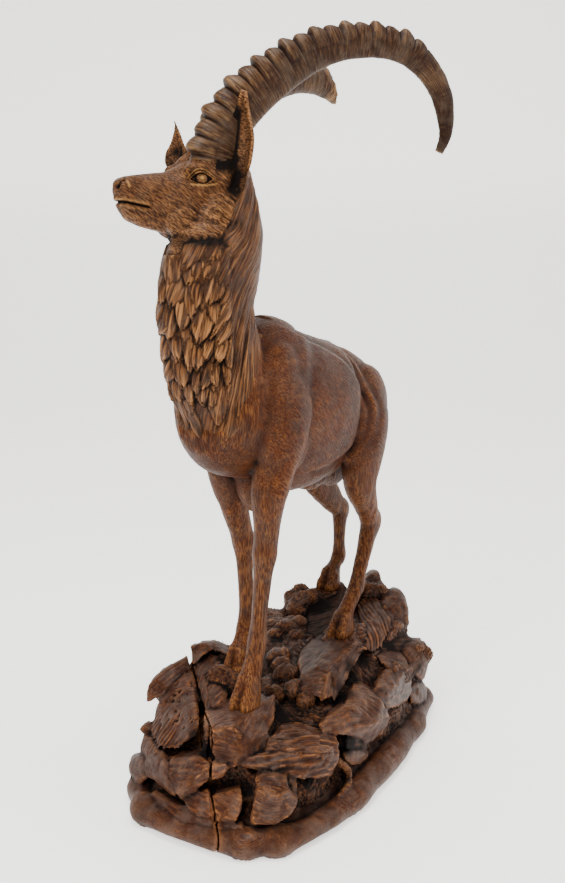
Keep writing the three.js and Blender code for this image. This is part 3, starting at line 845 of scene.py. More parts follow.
@dataclass
class Mane:
    """Rows of overlapping locks that hang round the throat and chest, in millimetres."""

    top: float = 72
    foot: float = 206
    rows: int = 8
    row_pitch: float = 16
    lock_pitch: float = 12.5
    lock_length: float = 34
    lock_width: float = 6.4
    lift: float = 5.0
    under_lift: float = 2.6
    slope: float = 0.5
    lean: float = 0.62
    twist_top: float = -0.5
    twist_end: float = -0.1
    girth: float = 37
    fullness: float = 3.0
    root_share: float = 0.75

    def turned(self, down: Array, angle: Array) -> Array:
        """Angles counted from the mane's own middle, which the turned head draws aside."""
        axis = np.interp(down, (40, 190), (self.twist_top, self.twist_end))
        return (angle - axis + math.pi) % (2 * math.pi) - math.pi

    def inside(self, down: Array, angle: Array) -> Array:
        """How far inside the mane's edge each place is, in millimetres."""
        half = np.interp(down, (60, 100, 130, 170, 200), (1.35, 1.5, 1.5, 1.15, 0.6))
        side = (half - np.abs(self.turned(down, angle))) * self.girth
        return np.minimum(side, np.minimum(down - self.top, self.foot - down))

    def seen(self) -> list[Lock]:
        """The locks that are listed from the picture, set onto the unrolled neck."""
        rows = spline(NECK, np.linspace(0, 1, 500))
        middle, girth = rows[:, :3], rows[:, 3:6] + self.fullness
        above = unit(np.cross([1, 0, 0], np.gradient(middle, axis=0)))
        turn = np.radians(np.arange(-180, 60, 0.5))[:, None, None]
        reach = np.where(np.sin(turn) > 0, girth[:, 1:2], girth[:, 2:3]) * np.sin(turn)
        skin = (middle + np.cos(turn) * girth[:, :1] * [1, 0, 0] + above * reach).reshape(-1, 3)
        x, y, away = SIGHT.picture(skin)
        down, angle = NeckMap().read(skin)
        across = self.turned(down, angle) * self.girth

        def find(px: float, py: float) -> tuple[float, float]:
            """Down the neck and across it, for a place in the picture."""
            gap = (x - px) ** 2 + (y - py) ** 2
            close = np.flatnonzero(gap < gap.min() + 6)
            spot = close[away[close].argmin()]
            return float(down[spot]), float(across[spot])

        locks = []
        for rx, ry, tx, ty, half, bow, gold in LOCKS:
            px, py = (rx + tx) / 2, (ry + ty) / 2
            scale = abs(find(px + 2, py)[1] - find(px - 2, py)[1]) / 4
            locks.append(Lock(*find(rx, ry), *find(tx, ty), half * min(max(scale, 0.6), 1.5), bow, gold))
        return locks

    def hidden(self) -> list[tuple[int, float, Lock]]:
        """Even rows of smaller locks, which show between the others: seed, lift and lock."""
        luck = np.random.default_rng(11)
        locks = []
        for row, i in np.ndindex(self.rows, 13):
            i -= 6
            middle = (i + 0.5 * (row % 2)) * self.lock_pitch + luck.uniform(-2.6, 2.6)
            tip = self.top + 4 + self.row_pitch * (row + 1) - self.slope * abs(middle)
            tip += luck.uniform(-3.5, 3.5)
            size = luck.uniform(0.8, 1.2)
            lean = math.copysign(self.lean * float(ease(0, 50, abs(middle))), middle)
            lean += luck.uniform(-0.2, 0.2)
            length = self.lock_length * size
            root = tip - length * math.cos(lean), middle + length * math.sin(lean)
            lock = Lock(*root, tip, middle, self.lock_width * size, luck.uniform(-2.5, 2.5))
            locks.append((row * 31 + i, self.under_lift * size, lock))
        return locks

    def locks(self, down: Array, angle: Array) -> tuple[Array, ...]:
        """Lays the locks over the neck.

        Args:
            down: Distance down the neck.
            angle: Angle from the throat.

        Returns:
            The height of the hair, its strand place, how golden it is as wear and painted highlight, and how
            much painted shade it takes, at each point.
        """
        where = columns(down, self.turned(down, angle) * self.girth)
        hair = np.zeros(len(down)), np.zeros((len(down), 3)), np.zeros(len(down)), np.zeros(len(down))
        for seed, lift, lock in self.hidden():
            self._lay(where, lock, lift, seed, hair)
        for index, lock in enumerate(self.seen()):
            lock = replace(lock, bow=lock.bow + 1.1 * (index % 5 - 2))
            lift = self.lift * min(1.15, 0.62 + 0.08 * lock.half)
            lift *= 0.45 + 0.55 * float(ease(76, 112, lock.root_down))
            self._lay(where, lock, lift, index * 7 + 3, hair)
            if lock.tip_across > 10:
                self._lay(where, lock.across(), lift, index * 7 + 5, hair)
        hair[0][:] *= 1 - 0.45 * ease(165, 200, down)
        return hair

    def _lay(self, where: Array, lock: Lock, lift: float, seed: int, hair: tuple[Array, ...]) -> None:
        """Lays one lock, where it stands above what is there."""
        height, strand, gold, shade = hair
        root, tip = np.array([lock.root_down, lock.root_across]), np.array([lock.tip_down, lock.tip_across])
        root = root - self.root_share * (tip - root)
        length = float(np.linalg.norm(tip - root))
        way = (tip - root) / length
        gap = np.linalg.norm(where - (root + tip) / 2, axis=1)
        near = np.flatnonzero(gap < length * 0.5 + lock.half * 1.6)
        if not len(near):
            return
        rel = where[near] - root
        along = rel @ way / length
        beside = rel[:, 1] * way[0] - rel[:, 0] * way[1] - lock.bow * 4 * along * (1 - along)
        point = 1.5 + 0.9 * ((seed * 37) % 10) / 10
        taper = np.clip(1 - (np.maximum(along - 0.5, 0) / 0.52) ** point, 0.04, 1)
        share = beside / (1.5 * lock.half * np.where(along < 0.5, 0.7 + 0.6 * along, taper))
        along = along + 0.06 * np.cos(share * 7 + seed) * ease(0.45, 0.9, along)
        held = (along > 0) & (along < 1.02) & (np.abs(share) < 1)
        rise = ease(0.1, 0.8, along) * (1 - 0.55 * ease(0.85, 1.0, along))
        rounded = 0.3 + 0.7 * np.sqrt(np.clip(1 - share**2, 0, 1))
        split = 0.09 * np.cos(share * 8 + seed + 2 * along)
        split += 0.08 * np.cos(share * 15 + 2 * seed + 3 * along)
        tall = lift * (rise * rounded + split * ease(0.05, 0.3, along) * (1 - 0.5 * along))
        wins = held & (tall > height[near])
        chosen = near[wins]
        height[chosen] = tall[wins]
        strand[chosen] = columns(beside + seed * 13.0, along * length, seed * 5.0)[wins]
        # Painted shade near the root and sides of each lock, under the lock above; wear and painted
        # highlight towards the tip.
        shade[chosen] = (0.55 * ease(0.62, 0.3, along) + 0.35 * ease(0.7, 1.0, np.abs(share)))[wins]
        gold[chosen] = (lock.gold * bell(along - 0.78, 0.28) * (1 - 0.6 * share**2))[wins]


HEAD_AT = np.array([0.0, -113.0, 524.0])
HEAD_TURN = -24.0
EAR_SHARES = (0, 0.15, 0.3, 0.43, 0.55, 0.72, 0.85, 1)


@dataclass(frozen=True)
class Ear:
    """An ear: its middle line, the way it opens, its reach to each side, its roll, depth and shade."""

    root: tuple[float, float, float]
    tip: tuple[float, float, float]
    opening: tuple[float, float, float]
    inner: tuple[float, ...]
    outer: tuple[float, ...]
    roll: float
    deep: float
    shade: float

    def frame(self, side: Side) -> tuple[Vector, Vector, Vector, Vector]:
        """The root, the way along the ear, the way it opens and the way to its outer side."""
        along = Vector(self.tip) - Vector(self.root)
        facing = Vector(self.opening).normalized()
        beside = facing.cross(along).normalized() * -side.value
        facing = (facing - along * facing.dot(along) / along.length_squared).normalized()
        return Vector(self.root), along, facing, beside


EARS = {
    Side.LEFT: Ear(
        root=(30.5, -10.5, 3), tip=(38, -4.5, 74.4), opening=(0.52, -0.85, 0),
        inner=(7, 11, 13, 13.4, 12, 6.2, 2.6, 0.3), outer=(5, 8.6, 10.4, 11, 10.6, 6.4, 3, 0.3),
        roll=84, deep=8, shade=0.95,
    ),
    Side.RIGHT: Ear(
        root=(-30, -17.5, 8), tip=(-40, -19.3, 59), opening=(0.35, -0.93, 0.1),
        inner=(5, 8, 8.8, 8, 6.8, 4.4, 3, 0.5), outer=(5, 9, 15, 18.5, 17, 8.4, 4, 0.5),
        roll=72, deep=5, shade=0.1,
    ),
}


@dataclass
class Head:
    """The head, worked out facing -Y about the back of its skull and then turned to its right."""

    skull: Knots = (
        (0, -93.5, -0.5, 4.5, 5, 6),
        (0, -91.5, 0, 7.6, 8.2, 10),
        (0, -88.5, 0, 9.4, 10.4, 16.5),
        (0, -82, 0, 11.0, 11.8, 22),
        (0, -74, 0, 11.8, 13, 25.5),
        (0, -61, 0, 13.2, 14.6, 28.5),
        (0, -50, 0, 16, 16, 31),
        (0, -40, 1, 19.5, 19, 36),
        (0, -28, 2, 22.5, 23.5, 40),
        (0, -12, 3, 24, 26, 42),
        (0, 2, 3, 21, 24, 38),
        (0, 14, 2, 15, 17, 28),
    )
    paired: tuple[Knots, ...] = (
        ((15, -30, 17.5), (8, 13, 6), (0, 0, 12)), ((14, -20, -11), (8.5, 20, 20), (-20, 0, 0)),
        ((10.5, -16, 17), (15.5, 22.5, 17), (14, 0, 0)), ((3.8, -88, 2.5), (5.6, 5.6, 7.6)),
        ((9, -34, -20), (11.5, 24, 16)), ((19, -9, 13), (9.5, 13, 15), (10, 0, 0)),
    )
    single: tuple[Knots, ...] = (
        ((0, -12, 25), (13, 10, 9)), ((0, -79, -17.5), (8.5, 9.5, 5.5), (-16, 0, 0)),
    )
    eye_at: tuple[float, float, float] = (20.8, -31.6, 10.4)
    eye_out: tuple[float, float, float] = (0.92, -0.34, 0.18)

    def forms(self) -> list[Form]:
        """The skull, cheeks and brows as rough forms."""
        forms = [swept(self.skull, 48, 60)]
        for row in self.paired:
            shape = ball(*row)
            forms += [mirrored(shape), shape]
        return forms + [ball(*row) for row in self.single]

    def ear(self, side: Side) -> Form:
        """A hollow leaf of an ear.

        Args:
            side: Which ear.

        Returns:
            The ear as a closed form in the head's place.
        """
        shape = EARS[side]
        form = bmesh.new()
        bmesh.ops.create_grid(form, x_segments=18, y_segments=30, size=1)
        root, along, facing, beside = shape.frame(side)
        for vert in form.verts:
            c, s = vert.co.x, (vert.co.y + 1) / 2
            reach = float(np.interp(s, EAR_SHARES, shape.outer if c > 0 else shape.inner))
            deep = shape.deep * float(np.interp(s, (0, 0.3, 0.7, 1), (0.8, 1, 0.6, 0.1)))
            turn = math.radians(shape.roll) * c
            vert.co = root + along * s + beside * (reach * math.sin(turn)) - facing * (deep * math.cos(turn))
        bmesh.ops.recalc_face_normals(form, faces=form.faces)
        bmesh.ops.solidify(form, geom=form.faces, thickness=2.6)
        bmesh.ops.recalc_face_normals(form, faces=form.faces)
        return form

    def ear_shade(self, face: Array, normals: Array, side: Side) -> Array:
        """How dark the hollow of an ear is, from 0 to 1."""
        shape = EARS[side]
        root, along, facing, beside = (np.array(v) for v in shape.frame(side))
        place = face - root
        share = place @ along / (along @ along)
        out = place - np.outer(share, along)
        near = (share > 0.1) & (share < 0.96) & (face[:, 0] * side.value > 12)
        near &= np.linalg.norm(out, axis=1) < 14
        inward = ease(0.0, 0.5, (normals @ rotation_about_z(-HEAD_TURN)) @ facing)
        shade = inward * (shape.shade * ease(0, -4, out @ beside) + 0.05)
        return np.where(near, shade, 0) * (1 - ease(0.8, 0.95, share)) * ease(0.1, 0.25, share)

    @property
    def placing(self) -> Matrix:
        """The turn and place of the head."""
        return Matrix.Translation(HEAD_AT) @ Matrix.Rotation(math.radians(HEAD_TURN), 4, "Z")

    def local(self, co: Array) -> Array:
        """Places in the head's own frame."""
        return (co - HEAD_AT) @ rotation_about_z(-HEAD_TURN)

    def turned(self, vectors: Array) -> Array:
        """Directions from the head's frame to the animal's."""
        return vectors @ rotation_about_z(HEAD_TURN)

    def eye_frame(self, side: Side) -> tuple[Array, Array, Array, Array]:
        """The eye's centre and its outward, forward and upward directions."""
        flip = np.array([side.value, 1, 1], float)
        out = unit(np.array(self.eye_out) * flip)
        forward = unit(np.array([0, -1, -0.05]) - out * np.dot(out, [0, -1, -0.05]))
        up = np.cross(out, forward) * side.value
        return np.array(self.eye_at) * flip, out, forward, up * np.sign(up[2])

    def carve(self, skin: Skin) -> Array:
        """Cuts the eyes, nostrils and mouth.

        Args:
            skin: The head and neck.

        Returns:
            Where the face is lightened to gold, from 0 to 1: a painted highlight in the middle of the iris,
            and wear and painted highlight on the lids, nostril wings and lips.
        """
        gold = np.zeros(len(skin.co))
        # Dark marks for the cut mark: the iris ring, and painted shade in the lid crease, the nostrils and
        # the mouth.
        self.ink_and_shade = np.zeros(len(skin.co))
        for side in Side:
            gold = np.maximum(gold, self._carve_eye(skin, side))
            gold = np.maximum(gold, self._carve_nose(skin, side))
            gold = np.maximum(gold, self._carve_mouth(skin, side))
        return gold

    def _carve_eye(self, skin: Skin, side: Side) -> Array:
        """An almond of lids round a ball with an iris."""
        centre, out, forward, up = self.eye_frame(side)
        place = self.local(skin.co) - centre
        a, b, depth = place @ forward, place @ up, place @ out
        near = (np.hypot(a, b) < 17) & (depth > -10) & (depth < 5)
        b = b - 0.1 * a + 0.3
        lens = np.where(b > 0, b / 3.9, -b / 3.3) + (a / 8.2) ** 2
        inside = 1 - ease(0.88, 1.0, lens)
        from_middle = np.hypot(a + 0.4, b - 0.5)
        globe = np.sqrt(np.clip(81 - from_middle**2, 0, None)) - 9 + 2.6
        globe -= 0.5 * bell(from_middle - 4.5, 0.5)
        globe += 0.5 * bell(from_middle, 2.2)
        lids = np.where(b > 0, 1.3, 0.9) * bell(lens - 1.22, 0.15)
        fold = bell(lens - 1.7, 0.1) * ease(-1.5, 2.0, b)
        under = bell(b + 4.9 - 0.012 * a * a, 0.7) * (1 - ease(9, 12, np.abs(a + 1.5)))
        lids += 1.2 * fold + 1.1 * under - 0.6 * bell(lens - 1.44, 0.09) * ease(-1, 1, b)
        corner = 1.0 * bell(b, 0.8) * ease(7.5, 9, a) * (1 - ease(11, 13, a))
        base = (depth - 0.4) * (1 - inside) + (globe - 0.8) * inside
        rim = 1.1 * bell(lens - 0.98, 0.08)
        move = (base + lids * (1 - inside) - corner - rim - depth) * (1 - ease(13, 17, np.hypot(a, b)))
        skin.co += self.turned(np.where(near, move, 0)[:, None] * out[None, :])
        # Painted highlight: a bright disc in the middle of the eye, and light lines along the lid rims.
        iris = inside * (1.5 * bell(from_middle, 1.5) + 0.3 * bell(from_middle - 3.0, 0.6))
        rims = 0.25 * bell(lens - 1.22, 0.12) + 0.75 * fold + 0.85 * under
        # A dark ring round the iris, and painted shade in the crease round the ball.
        ink_and_shade = 0.9 * bell(from_middle - 4.9, 0.8) * inside + bell(lens - 0.96, 0.12) + 0.3 * inside
        ink_and_shade = ink_and_shade + 0.6 * bell(lens - 1.44, 0.1) * ease(-1, 1, b)
        self.ink_and_shade = np.maximum(self.ink_and_shade, np.where(near, np.clip(ink_and_shade - iris, 0, 1), 0))
        return np.where(near, np.clip(np.maximum(iris, rims), 0, 1), 0)

    def _carve_nose(self, skin: Skin, side: Side) -> Array:
        """A comma of a nostril with a raised wing."""
        place = self.local(skin.co) * [side.value, 1, 1]
        slit, share = beside_segment(place, (6.6, -88.5, 8.4), (4.4, -93.5, 3.2))
        rim, _ = beside_segment(place, (8.0, -87.3, 9.6), (9.6, -86.2, 3.6))
        hole = bell(slit, 1.1 + 0.9 * share)
        wing = bell(rim, 1.0)
        inward = -skin.normals()
        skin.co += (2.8 * hole - 0.8 * wing)[:, None] * inward
        # Painted shade in the nostril; its wing is lightened as wear and painted highlight.
        self.ink_and_shade = np.maximum(self.ink_and_shade, hole)
        return 0.9 * wing

    def _carve_mouth(self, skin: Skin, side: Side) -> Array:
        """An open line of a mouth under a lip with a light edge."""
        place = self.local(skin.co)
        y, z = place[:, 1], place[:, 2]
        line = -7.6 - 0.19 * (y + 91)
        here = (place[:, 0] * side.value > -0.5) & (y < -60)
        ends = 1 - ease(-74, -67, y)
        gap = z - line
        width = np.interp(y, (-92, -82, -70), (0.8, 1.1, 1.0))
        groove = bell(gap, width) * ends
        upper = bell(gap - 2.6, 1.3) * ends
        lower = bell(gap + 2.6, 1.2) * ends
        inward = -skin.normals()
        skin.co += np.where(here, 2.0 * groove - 0.8 * upper - 0.4 * lower, 0)[:, None] * inward
        # Painted shade in the groove of the mouth; the lip edges are lightened as wear and painted
        # highlight.
        self.ink_and_shade = np.maximum(self.ink_and_shade, np.where(here, groove, 0))
        return np.where(here, 0.6 * bell(gap - 2.2, 0.8) * ends + 0.2 * lower, 0)


@dataclass
class HeadAndMane:
    """The head, ears, neck and mane as one close-carved skin."""

    head: Head = field(default_factory=Head)
    mane: Mane = field(default_factory=Mane)
    grain: float = 1.25

    def build(self, body: BVHTree) -> Piece:
        """Makes the piece and dresses it.

        Args:
            body: The body's skin, which the foot of the neck runs into.

        Returns:
            The piece.
        """
        skull = self.head.forms() + [self.head.ear(side) for side in Side]
        for form in skull:
            form.transform(self.head.placing)
        skin = Skin(fused([swept(NECK, 56, 70), *skull], self.grain))
        face = self.head.local(skin.co)
        skin.smooth(6)
        places = NeckMap()
        down, angle = places.read(skin.co)
        self._settle(skin, down - lower_edge(angle), body)
        fine = (face[:, 1] < -16) & (face[:, 2] > -17) & (face[:, 2] < 25) & (np.abs(face[:, 0]) < 30)
        fine &= (face[:, 1] < -62) | (np.hypot(face[:, 1] + 31, face[:, 2] - 11) < 21)
        skin.refine(fine)
        skin.smooth(2)
        gold = self.head.carve(skin)
        down, angle = places.read(skin.co)
        face = self.head.local(skin.co)
        on_head = self._on_head(face)
        height, strand, tips, shade = self.mane.locks(down, angle)
        covered = ease(-3, 6, self.mane.inside(down, angle)) * (1 - on_head)
        flow = columns(angle * self.mane.girth + 0.55 * down, down, 0)
        below = down - lower_edge(angle)
        sunk = -3.4 * ease(0, 8, below)
        nape = self._nape(flow, down) * (1 - on_head)
        combed = covered * (height - 0.8) + (1 - covered) * nape
        combed *= 1 - 0.6 * ease(-14, 0, below)
        behind_eye = from_oval(face, (0, -6, 6), (math.inf, 9, 14))
        poll = 1 - ease(0.7, 1.1, from_oval(face, (0, -13, 29), (math.inf, 13, 14)))
        cheek = self._cheek(face, on_head) - 3.0 * bell(behind_eye, 0.7)
        cheek += 1.1 * poll * noise(face, (3.2, 3.2, 5), 24)
        skin.push(on_head * cheek + (1 - on_head) * (combed + sunk))
        skin.mark_relief()
        # The cut mark gathers patina and painted shade: the hollows, the eye, nostrils and mouth, the poll
        # and throat, under the locks, and the ear hollows.
        cut = skin.marks["cut"] + self.head.ink_and_shade + self._painted_poll_shade(face) + shade * covered
        for side in Side:
            cut += self.head.ear_shade(face, skin.normals(), side)
        skin.mark("cut", np.clip(cut - gold, 0, 1))
        skin.mark("edge", np.clip(np.maximum(skin.marks["edge"], gold), 0, 1))
        x, y, z = face.T
        fur = columns(2.0 * z + 1.5 * y, 3.2 * y - 2.4 * z, x)
        hair = np.where(((covered > 0.5) & (height > 0))[:, None], strand, flow)
        skin.mark("strand", np.where((on_head > 0.5)[:, None], fur, hair))
        # Painted highlight in gold on the face, from the lids, nostril wings, lips and iris.
        skin.mark("gilt_highlight", np.clip(0.85 * gold**1.4, 0, 1))
        # Lock tips add wear and painted highlight to the patch mark.
        patch = (0.2 + 0.25 * ease(0.35, 0.9, noise(face, 14, 9))) * on_head
        skin.mark("patch", patch + 0.6 * tips * covered)
        return skin.finished("head_and_mane", MANE_FINISH)

    @staticmethod
    def _settle(skin: Skin, below: Array, body: BVHTree) -> None:
        """Draws the foot of the neck onto the body's skin, so that one runs into the other."""
        share = ease(-30, -8, below)
        for index in np.flatnonzero((share > 0) & (below < 22)):
            nearest = np.array(body.find_nearest(Vector(skin.co[index]))[0])
            skin.co[index] += share[index] * (nearest - skin.co[index])

    @staticmethod
    def _nape(flow: Array, down: Array) -> Array:
        """Long combed strands on the sides and back of the neck."""
        wide = noise(columns(flow[:, 0], down / 12, 0), 6.5, 3)
        fine = noise(columns(flow[:, 0], down / 9, 0), 2.7, 5)
        return 0.95 * (1 - 2 * np.abs(wide)) + 0.4 * fine - 0.8

    @staticmethod
    def _on_head(face: Array) -> Array:
        """Where the head is, above the line of the jaw and the back of the cheek."""
        back = (-54, -50, -39, -24, -14, -4, 12, 30)
        line = np.interp(face[:, 1], back, (-46, -38, -36, -33, -22, -4, 12, 22))
        return ease(-1.5, 1.5, face[:, 2] - line)

    @staticmethod
    def _over_jaw(face: Array) -> Array:
        """How high each place lies above the line of the jaw."""
        return face[:, 2] - np.interp(face[:, 1], (-78, -54, -39, -24, -14), (-25, -31, -36, -33, -22))

    def _painted_poll_shade(self, face: Array) -> Array:
        """Painted shade on the rough hair between the eye, the horn and the ear, and under the jaw and at
        the throat.
        """
        y, z = face[:, 1], face[:, 2]
        tangle = 0.5 + 0.5 * noise(face, (2.6, 2.6, 5), 23)
        shade_under_jaw = bell(self._over_jaw(face) + 0.5, 3.5) * ease(-56, -46, y) * ease(4, -8, y) * tangle
        dark = np.zeros(len(face))
        for middle, reach in (((0, -18, 27), (math.inf, 13, 12)), ((0, -6, 6), (math.inf, 10, 15))):
            gap = from_oval(face, middle, reach) + 0.2 * (tangle - 0.5)
            dark = np.maximum(dark, 1 - ease(0.45, 1.25, gap))
        # Painted shade in the gap under the chin at the throat.
        throat = bell(z + 38, 4) * ease(-60, -50, y) * ease(-12, -24, y)
        return dark * (0.3 + 0.4 * tangle) + 0.7 * throat + 0.9 * shade_under_jaw

    def _cheek(self, face: Array, on_head: Array) -> Array:
        """Short combed hair on the cheek and jaw."""
        x, y, z = face.T
        hair = noise(columns(z + 0.75 * y, (y - 0.8 * z) / 6, x / 3), 2.4, 21)
        cheek = ease(-62, -44, y) * ease(4, -6, z)
        jaw = bell(self._over_jaw(face) - 1, 4) * ease(-60, -46, y)
        fringe = np.abs(noise(columns(y - 0.5 * z, z / 20, x / 20), 5, 22))
        return (0.9 * hair * cheek + jaw * (2.0 * fringe - 0.6)) * on_head


def lower_edge(angle: Array) -> Array:
    """How far down the neck its own skin shows, at each angle from the throat."""
    return np.interp(np.abs(angle), (0, 0.6, 1.2, 1.9, 2.6, math.pi), (208, 205, 192, 168, 150, 142))


@dataclass
class Body:
    """The trunk and legs as one skin, with the neck's root inside."""

    grain: float = 1.7
    coronet: float = 0.2
    coronet_slope: float = 0.35
    hoof_reach: float = 26
    ribs: Knots = (
        (0, -148, 350, 24, 29, 29),
        (0, -132, 350, 37, 47, 47),
        (0, -98, 351, 43, 62, 60),
        (0, -62, 351, 46, 76, 71),
        (0, -20, 345, 50, 67, 79),
        (0, 15, 337, 51, 66, 76),
        (0, 42, 331, 46, 65, 66),
        (0, 58, 328, 34, 50, 50),
    )
    loin: Knots = (
        (0, 10, 340, 36, 54, 54),
        (0, 50, 333, 41, 61, 58),
        (0, 85, 321, 42, 61, 56),
        (0, 112, 310, 39, 53, 50),
        (0, 133, 301, 29, 40, 38),
    )
    sheath: Knots = (
        (0, 6, 268, 7, 6, 6),
        (0, 26, 262, 8, 7, 7),
        (0, 50, 266, 9, 10, 10),
        (0, 74, 266, 12, 14, 16),
        (0, 92, 272, 12, 12, 14),
    )
    tail: Knots = (
        (0, 128, 344, 8, 6, 6),
        (0, 144, 334, 7, 5, 5),
        (0, 151, 314, 4, 4, 4),
    )
    front_girth: Knots = (
        (0, 8, 22, 20), (0.4, 14, 34, 30), (0.8, 17, 37, 34), (1.2, 17.5, 31, 31), (1.6, 17, 23, 22),
        (2, 15.5, 15, 15.5), (2.4, 12.5, 12.5, 12.5), (2.85, 10.5, 10.5, 10.5), (3, 11, 10.5, 11.5),
        (3.18, 8.6, 8.6, 8.8), (3.4, 7.4, 7.6, 7.4), (3.8, 7.2, 7.6, 7.2), (4, 8.6, 9, 8.2),
        (4.5, 7.6, 8, 8), (5, 9.4, 10, 11),
    )
    thigh: Knots = ((0, 10, 20, 22), (0.4, 17, 31, 34), (0.8, 19, 33, 37), (1.3, 18.5, 29, 33))
    left_hock: Knots = (
        (1.7, 17, 24, 32), (2.1, 14.5, 17, 23), (2.55, 11.6, 11, 15.5), (2.85, 10, 12, 13),
        (3, 9.6, 15, 13.5), (3.25, 8.4, 12, 9.6), (3.5, 7.8, 9.6, 7.6), (3.8, 7.2, 8, 7), (4, 8.2, 9, 8),
        (4.5, 7.4, 8, 7.8), (5, 8.8, 9.6, 9.8),
    )
    right_hock: Knots = (
        (1.7, 17, 24, 34), (2.1, 14.5, 16, 29), (2.55, 11.6, 9, 23), (2.85, 10, 8, 16), (3, 9.6, 12, 13.5),
        (3.25, 7.4, 8.6, 9.6), (3.5, 6.6, 7.2, 7.4), (3.8, 6.6, 7.2, 6.8), (4, 7.8, 8.8, 7.8),
        (4.5, 7, 7.6, 7.6), (5, 8.8, 9.6, 9.8),
    )
    left_front: Knots = (
        (20, -56, 402), (40, -80, 345), (35, -101, 282), (30, -100, 230), (25, -105, 152), (23, -114, 121),
    )
    right_front: Knots = (
        (-20, -56, 402), (-36, -75, 345), (-24, -74, 280), (-21, -55, 222), (-19, -53, 150), (-18, -66, 122),
    )
    left_hind: Knots = (
        (23, 96, 358), (34, 82, 312), (37, 63, 264), (35, 92, 214), (32, 66, 150), (28, 50, 126),
    )
    right_hind: Knots = (
        (-22, 100, 358), (-33, 96, 312), (-35, 100, 266), (-29, 148, 206), (-30, 148, 152), (-30, 132, 138),
    )
    shoulder: Knots = (
        (24, -33, 410), (37, -46, 393), (44, -56, 375), (50, -62, 352), (51, -70, 334), (52, -84, 312),
    )
    rib_edge: Knots = (
        (25, -31, 406), (31, -8, 396), (35, 20, 382), (42, 36, 365), (43, 56, 343), (43, 56, 326),
        (42, 50, 312), (44, 20, 298), (40, -20, 290),
    )
    flank: Knots = (
        (18, 56, 390), (33, 64, 370), (42, 70, 348), (45, 72, 328), (44, 60, 308), (38, 44, 292),
        (26, 20, 276),
    )
    paired: tuple[Knots, ...] = (
        ((27, -76, 362), (18, 34, 46), (-8, 0, 0)), ((28, -62, 322), (18, 26, 30), (-10, 0, 0)),
        ((25, 88, 326), (20, 42, 46), (-14, 0, 0)),
    )
    single: tuple[Knots, ...] = (
        ((36, -92, 322), (16, 24, 40), (14, 0, 0)), ((-30, -82, 334), (15, 20, 30), (14, 0, 0)),
        ((6, -78, 290), (18, 15, 32)),
    )

    @property
    def legs(self) -> tuple[tuple[Knots, Knots, float], ...]:
        """Each leg's joints, girths and hoof height."""
        return (
            (self.left_front, self.front_girth, 22.0),
            (self.right_front, self.front_girth, 22.0),
            (self.left_hind, (*self.thigh, *self.left_hock), 17.0),
            (self.right_hind, (*self.thigh, *self.right_hock), 16.0),
        )

    def leg(self, joints: Knots, girths: Knots) -> Form:
        """A leg through its joints."""
        bones = np.asarray(joints, float)
        stations = []
        for place, *girth in girths:
            bone = min(int(place), len(bones) - 2)
            at = bones[bone] + (bones[bone + 1] - bones[bone]) * (place - bone)
            stations.append((*at, *girth))
        return swept(stations, 28, 90)

    def foot(self, joint: Sequence[float], height: float) -> list[Form]:
        """A cloven hoof on its flat sole, with the two dewclaws behind."""
        x, y, z = joint
        forms = []
        for side in (-1, 1):
            forms.append(swept((
                (x + side * 4.2, y - 1, z + 4, 4.8, 9, 8),
                (x + side * 5.0, y - 4, z - height * 0.45, 5.8, 11, 12),
                (x + side * 5.6, y - 7, z - height * 0.92, 6.4, 12.5, 14.5),
                (x + side * 5.6, y - 7, z - height, 6.2, 12, 14),
            ), 24, 14, cap=0))
            forms.append(ball((x + side * 4.4, y + 9.5, z + 8), (2.8, 3.4, 5.6), (-28, 0, 0)))
        return forms

    def forms(self) -> list[Form]:
        """All the rough forms of the trunk and legs."""
        forms = [
            swept(self.ribs, 56, 60, cap=0.25),
            swept(self.loin, 48, 40),
            swept(self.sheath, 24, 20),
            swept(self.tail, 20, 12),
            swept(NECK, 48, 60),
        ]
        for joints, girths, hoof in self.legs:
            forms.append(self.leg(joints, girths))
            forms += self.foot(joints[-1], hoof)
        for row in self.paired:
            shape = ball(*row)
            forms += [mirrored(shape), shape]
        return forms + [ball(*row) for row in self.single]

    def carve(self) -> tuple[Skin, BVHTree]:
        """Makes the skin with its muscles.

        Returns:
            The skin, and a copy of it to look up.
        """
        skin = Skin(fused(self.forms(), self.grain))
        trunk = ease(250, 285, skin.co[:, 2])
        skin.smooth(16, 0.25 + 0.75 * trunk)
        skin.push(self._muscles(skin.co))
        skin.smooth(2)
        skin.write()
        form = form_of(skin.mesh)
        surface = BVHTree.FromBMesh(form)
        form.free()
        return skin, surface

    def build(self, skin: Skin) -> Piece:
        """Cuts the hair and dresses the piece.

        Args:
            skin: The body's skin.

        Returns:
            The piece.
        """
        co = skin.co
        down, angle = NeckMap().read(co)
        neck = ease(4, 16, lower_edge(angle) - down) * (co[:, 1] < -60) * ease(330, 350, co[:, 2])
        low = 1 - ease(255, 300, co[:, 2])
        hair = 0.3 * noise(co * [1, 0.3, 0.6], 3.4, 31) + 0.25 * noise(co, 14, 33)
        leg_hair = 0.5 * noise(co / [1, 1, 12], 5.5, 34) + 0.28 * noise(co / [1, 1, 7], 2.8, 35)
        chest = self._chest_hair(co)
        hoof = self._hooves(co)
        skin.push((hair * (1 - low) + leg_hair * low) * (1 - hoof) + chest - 4.2 * neck)
        skin.mark_relief(0.3, 1.8)
        skin.mark("down", np.clip(low + ease(-105, -135, co[:, 1]), 0, 1))
